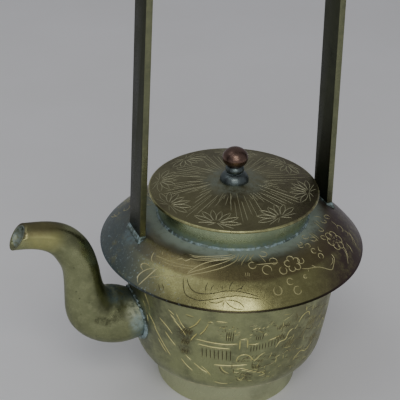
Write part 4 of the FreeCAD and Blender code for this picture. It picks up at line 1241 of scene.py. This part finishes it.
@dataclass
class Bowl:
    """Deep bowl engraved with a fence, trees, rocks and long grass."""

    top: Point = (39.0 * MM, 0.0)
    waist: Point = (34.9 * MM, 20.5 * MM)
    waist_lean: float = math.radians(9.5)
    lip: Point = (31.6 * MM, 13.1 * MM)
    wall: float = 1.2 * MM
    # Height of the pale band along the lip: wear and painted highlight.
    lip_wear_and_sheen: float = 1.0 * MM
    groove_width: float = 0.38 * MM
    broad_cut: float = 0.42 * MM
    partner_drop: float = 0.55
    groove_depth: float = 0.17 * MM
    ring_step: float = 1.5 * MM
    swell: float = 0.08 * MM
    swell_size: float = 19.0 * MM
    strainer_height: float = 32.8 * MM
    strainer_hole: float = 1.4 * MM
    strainer_ring: float = 4.6 * MM
    strainer_count: int = 6
    drill_length: float = 20.0 * MM
    drill_outset: float = 2.0 * MM

    def __post_init__(self) -> None:
        """Takes the rim's height from the frame and works out the two arcs."""
        self.top = (self.top[0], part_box("bowl")[1].z)
        lean = (-math.cos(self.waist_lean), math.sin(self.waist_lean))
        self.side_centre = tangent_arc(self.waist, lean, self.top)[0]
        self.turn_centre = tangent_arc(self.waist, lean, self.lip)[0]

    def face(self) -> TurnedFace:
        """The outer side from the lip up to the rim."""
        outline = [self.lip] + arc_points(self.turn_centre, self.lip, self.waist, 24)
        outline += arc_points(self.side_centre, self.waist, self.top, 70)
        return TurnedFace(outline, Spread.BAND)

    def inner_outline(self) -> list[Point]:
        """From the rim over the inside to the middle of the floor."""
        rim = toward(self.side_centre, self.top, self.wall)
        waist = toward(self.side_centre, self.waist, self.wall)
        floor = self.lip[1] + self.wall
        radius = math.dist(self.turn_centre, self.lip) - self.wall
        corner = self.turn_centre[0] + math.sqrt(radius**2 - (floor - self.turn_centre[1]) ** 2)
        outline = [self.top, (rim[0], self.top[1])]
        outline += arc_points(self.side_centre, (rim[0], self.top[1]), waist, 24)
        outline += arc_points(self.turn_centre, waist, (corner, floor), 8)
        return outline + [(corner * share, floor) for share in (0.75, 0.5, 0.25, 0.0)]

    def under_outline(self) -> list[Point]:
        """From the lip to the middle of the underside."""
        return [(self.lip[0] * share, self.lip[1]) for share in (1.0, 0.75, 0.5, 0.25, 0.0)]

    def etched(self, graver: Graver, marks: tuple[Point, ...]) -> None:
        """Cuts one bright broad stroke with a thin dark one just below it."""
        graver.line(*marks, width=self.broad_cut)
        below = [(bearing, height - self.partner_drop) for bearing, height in marks]
        graver.line(*below, width=0.6 * self.groove_width, grime_and_shade=1.0)

    def fence(self, graver: Graver) -> None:
        """Rails, bars and a gate post. Marks are bearing and height."""
        rails = (
            ((-41, 37.2), (-32, 36.8), (-24, 36.6), (-18, 37)),
            ((-40, 35.2), (-32, 34.8), (-22, 34.6)),
            ((-31, 26.6), (-22, 26.6), (-12, 27)),
            ((-17.2, 38.8), (-17.2, 34)),
            ((-13.2, 39.2), (-13, 34.6)),
            ((-17.2, 38.8), (-13.2, 39.2)),
            ((-13.1, 36.6), (-9, 36.2), (-6.4, 36.8)),
            ((-2, 37), (6, 38.2)),
        )
        for marks in rails:
            self.etched(graver, marks)
        for number, bearing in enumerate((-37.5, -35.2, -33, -30.8, -28.6, -26.4, -24.2, -22)):
            graver.line((bearing, 34.2), (bearing + 0.3, 29.2 - 0.12 * number), grime_and_shade=1.0)
        for number, bearing in enumerate((-11, -9.4, -7.8, -6.2, -4.6, -3, -1.2, 0.6, 2.4, 4.2)):
            graver.line((bearing, 36 + 0.16 * number), (bearing, 32.4 + 0.14 * number), grime_and_shade=1.0)

    def trees(self, graver: Graver) -> None:
        """Two clumps of trunks under dashed leaves."""
        for bearing in (-24.6, -23.4, -22.4, -21.2):
            graver.line((bearing, 37.6), (bearing + 0.3, 42.6), grime_and_shade=1.0)
        for bearing in (-8.6, -7.4, -6.4, -5.2):
            graver.line((bearing, 37.6), (bearing + 0.2, 40.6), grime_and_shade=1.0)
        leaves = (
            (-29, 42.4), (-28, 44), (-26.6, 42.2), (-26, 43.8), (-24.6, 44.6), (-23, 43.4), (-21.6, 44.4),
            (-20.4, 42.6), (-19, 43.8), (-18, 42.2), (-27.6, 40.8), (-19.4, 41), (-11, 42.2), (-10, 43.4),
            (-8.8, 42), (-7.6, 43.2), (-6.4, 42), (-5.2, 43.2), (-4, 42.2), (-3, 43.4), (-2.2, 41.4), (-11.6, 40.8),
            (-9.4, 40.4), (-3.6, 40.4),
        )
        for number, (bearing, height) in enumerate(leaves):
            turn = -35.0 + 70.0 * (number % 2) + 9.0 * math.sin(2.0 * number)
            graver.dash(bearing, height, 1.4, turn, self.groove_width * 1.15, 1.0 * (number % 2 == 0))

    def leaves(self, graver: Graver) -> None:
        """Dense short strokes of leaves and stones right of the fence, below it and over it."""
        fields = (
            (5.0, 54.0, 19.0, 28.0, 170), (-21.0, 27.0, 17.8, 12.5, 54), (-12.0, 20.0, 39.5, 6.5, 22),
            (-27.0, 10.0, 39.5, 6.0, 14),
        )
        for start, wide, low, tall, count in fields:
            for number in range(count):
                across = number * 0.61803 % 1.0
                up = number * 0.75488 % 1.0
                length = 1.6 + 1.7 * abs(math.sin(3.1 * number))
                turn = 34.0 + 58.0 * math.sin(1.9 * number + 4.0 * across)
                width = self.groove_width * (0.85 if number % 3 else 0.62)
                grime_and_shade = 1.0 if number % 3 else 0.0
                graver.dash(start + wide * across, low + tall * up, length, turn, width, grime_and_shade)

    def bush(self, graver: Graver) -> None:
        """A round bush of bowed strokes below the fence."""
        for number in range(9):
            share = number / 8.0
            patch = graver.local(-15.5 + 12.0 * share, 24.6 - 3.0 * share, -20.0 - 30.0 * share)
            patch.line((-1.7, -0.9), (-0.3, 0.5), (1.6, 0.9), grime_and_shade=1.0 if number % 2 else 0.1)
        for number in range(8):
            patch = graver.local(-17.0 + 2.4 * number, 29.0 + 1.5 * math.sin(0.45 * number), 25.0)
            patch.line((-0.9, -0.7), (0.0, 0.1), (1.1, 0.5), grime_and_shade=0.9)

    def rocks(self, graver: Graver) -> None:
        """Blocks of close hatching with a broken outline."""
        blocks = (
            (-46, 39.4, 3.6, 4.2, 10, 0.5), (-46.8, 34.6, 3.0, 4.4, 8, 0.35), (-47.6, 30.2, 2.6, 3.6, 7, 0.2),
            (-7, 25.2, 3.2, 3.2, 8, -0.3), (-4.8, 28, 2.2, 2.6, 6, 0.3), (7, 42, 4.2, 4.0, 9, 0.3),
            (5, 37.4, 3.0, 3.6, 7, -0.4), (12, 33, 3.6, 4.4, 8, 0.4), (27, 38, 5.0, 5.0, 9, 0.25),
            (33, 29, 4.2, 4.4, 8, -0.3), (-14.8, 28.6, 4.4, 1.7, 10, -0.6),
        )
        for bearing, height, width, tall, count, slant in blocks:
            graver.local(bearing, height, 0.0).hatch(width, tall, count, slant)
        outlines = (
            ((-18.6, 28.4), (-17.6, 30.8), (-14.6, 31.8), (-11.4, 31), (-8.4, 28.6), (-5.6, 30.6), (-2.6, 31.8)),
            ((-28, 26.4), (-26.6, 23.8), (-23.2, 22)),
            ((-27, 26.4), (-25.4, 24), (-22, 22.6)),
            ((-18.4, 20.6), (-16.8, 18.9), (-14.4, 18.4)),
            ((-17.4, 20.8), (-15.8, 19.4), (-13.8, 19)),
            ((-4, 24.4), (-1.4, 25.2), (1.6, 25.4), (4.6, 26.4)),
            ((3, 32.6), (5.4, 35.2), (8.8, 35.6), (10.4, 38.6), (13.6, 39.6)),
            ((8, 28.4), (11.6, 30), (13.6, 28.8), (17, 30.6)),
            ((16, 41), (18.6, 43.6), (22.8, 44), (24.6, 41.6)),
            ((20, 33), (23, 36.2), (27.4, 34.8), (30.6, 37)),
            ((18, 24), (23, 26), (28, 24.6), (34, 27.4)),
            ((36, 36), (40, 40), (46, 39), (50, 42)),
            ((37, 30.6), (42, 33.8), (47, 31.4), (53, 35)),
            ((13.4, 46.4), (14.6, 44), (14, 41.8)),
            ((20.5, 47.4), (21, 44.8)),
        )
        for number, marks in enumerate(outlines):
            width = self.broad_cut if number % 2 else self.groove_width
            graver.line(*marks, width=width, grime_and_shade=0.8 * (number % 2))

    def grass(self, graver: Graver) -> None:
        """Long loose blades, twigs and short bright strokes."""
        blades = (
            ((-54, 43.2), (-50, 40.6), (-46.4, 37.4)), ((-68, 35.6), (-63, 30.6), (-57, 25)),
            ((-60, 36), (-56.6, 33.4), (-53, 31)), ((-66, 31), (-62.4, 27.6), (-60, 25.6)),
            ((-47.6, 28.6), (-45.4, 27.4), (-43.6, 26.6)), ((-42.8, 26), (-38, 23.4), (-33.6, 22)),
            ((-38, 47), (-41, 43.6), (-45, 41.2)), ((-34, 45.2), (-36, 42), (-39, 39.2)),
            ((-34.8, 45.4), (-33, 46), (-31.4, 45.6)), ((-47, 47), (-41.4, 46.8)), ((-30.4, 46.6), (-24, 46.4)),
            ((-74, 48), (-71.4, 44.4), (-70.2, 41.6)), ((-76, 44), (-73.6, 39), (-73, 35)),
            ((-72, 40), (-68.4, 37), (-66.6, 34.6)), ((-57, 46.6), (-52.6, 44.8)), ((-56, 45), (-52, 42.6)),
            ((-52, 46.2), (-49.4, 42.6), (-46.6, 40.4)), ((-63.4, 41), (-58, 38.4), (-54.6, 36)),
            ((-40, 40), (-42.6, 37.4), (-44, 35.6)), ((-50.4, 26.2), (-47, 23.6), (-43, 21.6)),
            ((-38.4, 25.2), (-35, 23.2), (-32.4, 20.8)), ((-31, 18), (-26, 17.2), (-22, 17.4)),
        )
        for marks in blades:
            self.etched(graver, marks)

    def build(self, finish: bpy.types.Material) -> None:
        """Engraves both sides of the bowl and pierces the strainer behind the spout."""
        graver = Graver(self.face(), self.groove_width)
        for shift in BOTH_SIDES:
            graver.shift = shift
            for motif in (self.fence, self.trees, self.leaves, self.bush, self.rocks, self.grass):
                motif(graver)
        seam = math.pi * graver.face.mean_radius
        wrapped = []
        for cut in graver.cuts:
            points = cut.points.copy()
            if points[:, 0].mean() > seam:
                points[:, 0] -= 2.0 * seam
            if np.abs(points[:, 0]).max() < seam - self.groove_width:
                wrapped.append(replace(cut, points=points))
        graver.cuts = wrapped
        side = EngravedFace(graver, self.groove_depth, self.ring_step).mesh("bowl_side")
        inner = lathe("bowl_inner", self.inner_outline())
        under = lathe("bowl_under", self.under_outline())
        lip = self.lip[1] + self.lip_wear_and_sheen
        for skin in (side, inner, under):
            # The bowl's inside takes a dark tea stain and its underside painted shade.
            mark(skin, "stain_and_shade", lambda face, outside=skin is side: not outside)
            # The lowest band of the side takes a pale line along the lip: wear and a painted highlight.
            mark(skin, "edge", lambda face, outside=skin is side: outside and face.center.z < lip)
        piece = weld([side, inner, under], "engraved_bowl")
        self.pierce(piece)
        unsteady(piece, self.swell, self.swell_size)
        smooth(piece, CREASE)
        Piece("bowl_brass", "pot", ("bowl",)).hand_over(piece, finish)

    def pierce(self, piece: bpy.types.Object) -> None:
        """Bores a ring of strainer holes and one in its middle through the wall behind the spout."""
        ring = self.strainer_ring
        places = [(0.0, self.strainer_height)]
        for number in range(self.strainer_count):
            angle = TURN * number / self.strainer_count
            places.append((ring * math.sin(angle), self.strainer_height + ring * math.cos(angle)))
        drills = []
        for across, above in places:
            clear_selection()
            bpy.ops.mesh.primitive_cylinder_add(
                vertices=24, radius=self.strainer_hole, depth=self.drill_length,
                location=(-self.waist[0] - self.drill_outset, across, above), rotation=(0.0, math.pi / 2.0, 0.0),
            )
            bpy.ops.object.transform_apply(location=True, rotation=True, scale=True)
            drills.append(bpy.context.object)
        drill = weld(drills, "strainer_drill")
        cutter = piece.modifiers.new("strainer", "BOOLEAN")
        cutter.operation = "DIFFERENCE"
        cutter.solver = "EXACT"
        cutter.object = drill
        apply_modifiers(piece)
        bpy.data.objects.remove(drill)


@dataclass
class Lid:
    """Low cone engraved with lotus sprays at the edge and bundles of rays from the knob."""

    radius: float = 30.0 * MM
    edge: float = 1.1 * MM
    rise: float = 3.1 * MM
    sheet: float = 1.0 * MM
    land: float = 5.4 * MM
    round_share: float = 0.45
    flat_inside: float = 23.4 * MM
    groove_width: float = 0.25 * MM
    groove_depth: float = 0.11 * MM
    ray_width: float = 0.21 * MM
    ring_step: float = 1.5 * MM
    swell: float = 0.05 * MM
    swell_size: float = 15.0 * MM

    def __post_init__(self) -> None:
        """Takes the seat's height from the frame."""
        self.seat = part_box("lid_plate")[0].z
        self.rounding = self.edge * self.round_share
        self.slope_start = self.radius - self.rounding
        self.edge_top = self.seat + self.edge
        self.peak = self.edge_top + self.rise

    def face(self) -> TurnedFace:
        """The upper face from the middle to where the edge turns over."""
        land = (self.land, self.peak)
        outline = [(0.0, self.peak)] + line_points((0.0, self.peak), land, 6)
        outline += line_points(land, (self.slope_start, self.edge_top), 40)
        return TurnedFace(outline, Spread.FAN)

    def under_outline(self) -> list[Point]:
        """The rounded edge, the seat and the hollow underside to the middle."""
        upper = (self.slope_start, self.edge_top - self.rounding)
        lower = (self.slope_start, self.seat + self.rounding)
        start = (self.slope_start, self.edge_top)
        outline = [start] + arc_points(upper, start, (self.radius, upper[1]), 6)
        outline += [(self.radius, lower[1])]
        outline += arc_points(lower, (self.radius, lower[1]), (self.slope_start, self.seat), 6)
        thin = self.flat_inside - self.sheet
        fall = self.rise / (self.slope_start - self.land)
        hollow = self.edge_top + (self.slope_start - thin) * fall - self.sheet
        floor = self.peak - self.sheet
        return outline + [(self.flat_inside, self.seat), (thin, hollow), (self.land, floor), (self.land / 2.0, floor),
                          (0.0, floor)]

    def engrave(self, graver: Graver) -> None:
        """Cuts the sprays, the long rays between them and the short rays that end at their petals."""
        sprays = (
            (-160.0, 26.0, 3.0), (-118.0, 26.4, -3.0), (-80.0, 26.4, 5.0), (-36.0, 26.2, -2.0), (14.0, 25.6, 4.0),
            (62.0, 26.2, -4.0), (110.0, 25.8, 2.0), (155.0, 26.2, -3.0),
        )
        for number, (bearing, base, lean) in enumerate(sprays):
            graver.local(bearing, base, lean).fan_spray(8.6, 7, 76.0)
            after = sprays[(number + 1) % len(sprays)][0]
            gap = (after - bearing) % 360.0
            middle = bearing + gap / 2.0
            for ray, away in enumerate((-0.30, -0.19, -0.10, -0.02, 0.09, 0.17, 0.3)):
                start = 8.0 + 5.5 * abs(math.sin(1.7 * ray + number))
                stop = 25.8 - 20.0 * abs(away) + 2.2 * math.sin(1.3 * ray + 2.0 * number)
                slip = 1.6 * math.sin(2.9 * ray + 1.3 * number)
                width = self.ray_width * (1.25 if (ray + number) % 3 == 0 else 0.9)
                graver.line((middle + gap * away * 1.3 + slip, start), (middle + gap * away, stop), width=width)
            for ray, away in enumerate((-9.0, -3.5, 2.5, 8.5)):
                stop = 15.2 + 1.9 * math.sin(2.1 * ray + number)
                first = 9.0 + 1.5 * abs(math.sin(ray + 2.0 * number))
                graver.line((bearing + away, first), (bearing + away * 0.9, stop), width=self.ray_width)

    def build(self, finish: bpy.types.Material) -> None:
        """Builds the engraved lid."""
        graver = Graver(self.face(), self.groove_width)
        self.engrave(graver)
        top = EngravedFace(graver, self.groove_depth, self.ring_step).mesh("lid_top")
        under = lathe("lid_under", self.under_outline())
        for skin in (top, under):
            # The lid's seat and underside are darkened: stain and painted shade.
            mark(skin, "stain_and_shade", lambda face: face.center.z < self.seat + 0.1 * self.edge)
            mark(skin, "edge", lambda face: math.hypot(face.center.x, face.center.y) > self.slope_start)
        piece = weld([top, under], "engraved_lid")
        unsteady(piece, self.swell, self.swell_size)
        smooth(piece, CREASE)
        Piece("lid_brass", "lid", ("lid_plate",)).hand_over(piece, finish)


@dataclass
class Fittings:
    """The strap, the spout, the knob and the plain rings, which follow the frame's solids."""

    strap_ease: float = 0.30 * MM
    strap_flank: Point = (0.2, 0.96)
    bend_middle: tuple[float, float, float] = (-44.7 * MM, 0.0, 44.6 * MM)
    bend_reach: float = 11.0 * MM
    bend_rubs: int = 90
    bead_swell: float = 0.07 * MM
    bead_lump: float = 3.5 * MM
    bead_spread: float = -0.15 * MM
    bead_hollow: tuple[Point, ...] = ((0.0, 0.0), (0.25, 0.16), (0.55, 0.42), (0.82, 0.72))

    def strap(self, finish: bpy.types.Material) -> None:
        """The flat strap with eased edges."""
        piece = copy_of("handle", "strap_handle", self.strap_ease)
        low, high = self.strap_flank
        mark(piece, "stain_and_shade", lambda face: abs(face.normal.y) < low)
        mark(piece, "edge", lambda face: low <= abs(face.normal.y) < high)
        smooth(piece, FITTING_CREASE)
        Piece("handle_brass", "pot", ("handle",)).hand_over(piece, finish)

    def rub_bend(self, piece: bpy.types.Object) -> None:
        """Evens out the hollow of the spout's lower bend, as a file and cloth would."""
        middle = Vector(self.bend_middle)
        with editing(piece):
            bpy.ops.mesh.quads_convert_to_tris()
            bpy.ops.mesh.select_all(action="DESELECT")
        for vertex in piece.data.vertices:
            normal = vertex.normal
            outer = normal.x + normal.z > 0.3 or (abs(normal.y) > 0.3 and normal.y * vertex.co.y > 0.0)
            vertex.select = outer and (vertex.co - middle).length < self.bend_reach
        bpy.ops.object.mode_set(mode="EDIT")
        bpy.ops.mesh.subdivide(number_cuts=1)
        bpy.ops.mesh.vertices_smooth(factor=0.5, repeat=self.bend_rubs)
        bpy.ops.object.mode_set(mode="OBJECT")

    def spout(self, finish: bpy.types.Material) -> None:
        """The bent tube, evened at its lower bend."""
        piece = copy_of("spout", "bent_spout")
        self.rub_bend(piece)
        smooth(piece, FITTING_CREASE)
        Piece("spout_brass", "pot", ("spout",)).hand_over(piece, finish)

    def knob(self, ball: bpy.types.Material, pedestal: bpy.types.Material) -> None:
        """The ball and its turned pedestal."""
        for node, name, slot, finish in (
            ("knob_ball", "copper_ball", "ball_copper", ball),
            ("knob_pedestal", "turned_pedestal", "pedestal_metal", pedestal),
        ):
            piece = copy_of(node, name)
            smooth(piece, FITTING_CREASE)
            Piece(slot, "lid", (node,)).hand_over(piece, finish)

    def neck_bead(self, finish: bpy.types.Material) -> None:
        """The thin ring of solder and verdigris where the neck stands on the crown."""
        low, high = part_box("neck_solder")
        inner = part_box("neck_collar")[1].x
        outer = high.x + self.bead_spread
        rise = high.z - low.z
        outline = [(inner + out * (outer - inner), high.z - down * rise) for out, down in self.bead_hollow]
        outline += [(outer, low.z), (inner, low.z), (inner, high.z)]
        piece = weld([lathe("bead", outline)], "bead_of_neck_solder")
        unsteady(piece, self.bead_swell, self.bead_lump)
        smooth(piece, BEAD_CREASE)
        Piece("solder", "pot", ("neck_solder",)).hand_over(piece, finish)

    def solder(self, finish: bpy.types.Material, spout_finish: bpy.types.Material) -> None:
        """Uneven beads of solder where pieces meet in view."""
        self.neck_bead(finish)
        for node in ("spout_solder", "handle_solder_front", "handle_solder_rear"):
            piece = copy_of(node, "bead_of_" + node)
            with editing(piece):
                bpy.ops.mesh.quads_convert_to_tris()
                bpy.ops.mesh.subdivide(number_cuts=1)
            unsteady(piece, self.bead_swell, self.bead_lump)
            smooth(piece, BEAD_CREASE)
            Piece("solder", "pot", (node,)).hand_over(piece, spout_finish if node == "spout_solder" else finish)

    def plain_nodes(self, finishes: dict[str, bpy.types.Material]) -> None:
        """Dresses the solids that stay as they are."""
        for node, finish in finishes.items():
            solid = frame["nodes"][node]
            solid.data.materials.clear()
            solid.data.materials.append(finish)


@dataclass
class Studio:
    """Camera, floor and soft light. The camera was fitted to the circles of the pot."""

    lens: float = 108.0
    sensor: float = 36.0
    nearest: float = 0.01
    elevation: float = math.radians(29.836)
    roll: float = math.radians(1.802)
    bearing: float = math.radians(22.5)
    distance: float = 431.4 * MM
    right_shift: float = 11.33 * MM
    up_shift: float = -13.49 * MM
    aim_height: float = 56.6 * MM
    floor_size: float = 3.0
    room: Colour = (0.30, 0.30, 0.32)
    room_strength: float = 0.92

    def camera(self) -> None:
        """Places the camera as fitted."""
        back = Vector((0.0, -math.cos(self.elevation), math.sin(self.elevation)))
        right = Vector((1.0, 0.0, 0.0))
        up = Vector((0.0, math.sin(self.elevation), math.cos(self.elevation)))
        right_rolled = right * math.cos(self.roll) + up * math.sin(self.roll)
        up_rolled = up * math.cos(self.roll) - right * math.sin(self.roll)
        place = back * self.distance - right_rolled * self.right_shift - up_rolled * self.up_shift
        spin = Matrix.Rotation(-self.bearing, 3, "Z")
        axes = Matrix([spin @ right_rolled, spin @ up_rolled, spin @ back]).transposed()
        data = bpy.data.cameras.new("view")
        data.lens = self.lens
        data.sensor_width = self.sensor
        data.sensor_fit = "HORIZONTAL"
        data.clip_start = self.nearest
        camera = bpy.data.objects.new("view", data)
        camera.matrix_world = Matrix.Translation(spin @ place + Vector((0.0, 0.0, self.aim_height))) @ axes.to_4x4()
        bpy.context.scene.collection.objects.link(camera)
        bpy.context.scene.camera = camera

    def floor(self) -> None:
        """A plain pale tabletop."""
        clear_selection()
        bpy.ops.mesh.primitive_plane_add(size=self.floor_size)
        plane = bpy.context.object
        plane.name = "tabletop"
        graph = Graph("pale_table")
        tint = graph.mix(graph.ranged(graph.noise(0.12), 0.35, 0.65), (0.91, 0.91, 0.91), (0.94, 0.94, 0.95))
        graph.put(graph.shader.inputs["Base Color"], tint)
        graph.shader.inputs["Roughness"].default_value = 0.85
        plane.data.materials.append(graph.material)

    def lamp(self, name: str, bearing: float, elevation: float, distance: float, size: Point, power: float,
             colour: Colour) -> None:
        """Hangs one soft flat light that faces the pot.

        Args:
            name: the light's name.
            bearing: degrees from -Y, growing towards +X.
            elevation: degrees above the table.
            distance: metres from the pot.
            size: width and height of the light.
            power: watts.
            colour: its tint.
        """
        data = bpy.data.lights.new(name, "AREA")
        data.shape = "RECTANGLE"
        data.size, data.size_y = size
        data.energy = power
        data.color = colour
        lamp = bpy.data.objects.new(name, data)
        turn, lift = math.radians(bearing), math.radians(elevation)
        out = Vector((math.sin(turn) * math.cos(lift), -math.cos(turn) * math.cos(lift), math.sin(lift)))
        lamp.location = out * distance + Vector((0.0, 0.0, self.aim_height))
        lamp.rotation_euler = out.to_track_quat("Z", "Y").to_euler()
        bpy.context.scene.collection.objects.link(lamp)

    def lights(self) -> None:
        """A broad soft light above the camera, weak ones at its left and low down, and a dim room."""
        self.lamp("front", -18.0, 47.0, 1.0, (0.52, 0.32), 2.0, (1.0, 0.99, 0.95))
        self.lamp("left", -100.0, 60.0, 0.9, (0.70, 0.50), 0.85, (0.94, 0.97, 1.0))
        self.lamp("low", -15.0, 20.0, 1.2, (0.90, 0.30), 2.0, (1.0, 1.0, 0.98))
        world = bpy.data.worlds.new("room")
        world.use_nodes = True
        background = world.node_tree.nodes["Background"].inputs
        background["Color"].default_value = (*self.room, 1.0)
        background["Strength"].default_value = self.room_strength
        bpy.context.scene.world = world

    def build(self) -> None:
        """Sets up the whole studio."""
        self.camera()
        self.floor()
        self.lights()


def main() -> None:
    """Builds the pot piece by piece and the studio round it."""
    logging.basicConfig(level=logging.INFO, format="%(message)s")
    Studio().build()
    neck = NECK_FINISH.build()
    solder = SOLDER_FINISH.build()
    Shoulder().build(SHOULDER_FINISH.build())
    Bowl().build(BOWL_FINISH.build())
    Lid().build(LID_FINISH.build())
    fittings = Fittings()
    fittings.strap(STRAP_FINISH.build())
    fittings.spout(SPOUT_FINISH.build())
    fittings.knob(BALL_FINISH.build(), PEDESTAL_FINISH.build())
    fittings.solder(solder, SPOUT_SOLDER_FINISH.build())
    fittings.plain_nodes({
        "foot_ring": FOOT_FINISH.build(),
        "neck_collar": neck,
        "lid_bezel": neck,
        "knob_washer": neck,
        "knob_rivet": neck,
        "bezel_solder": solder,
        "shoulder_solder": solder,
        "foot_solder": solder,
    })


if __name__ == "__main__":
    main()
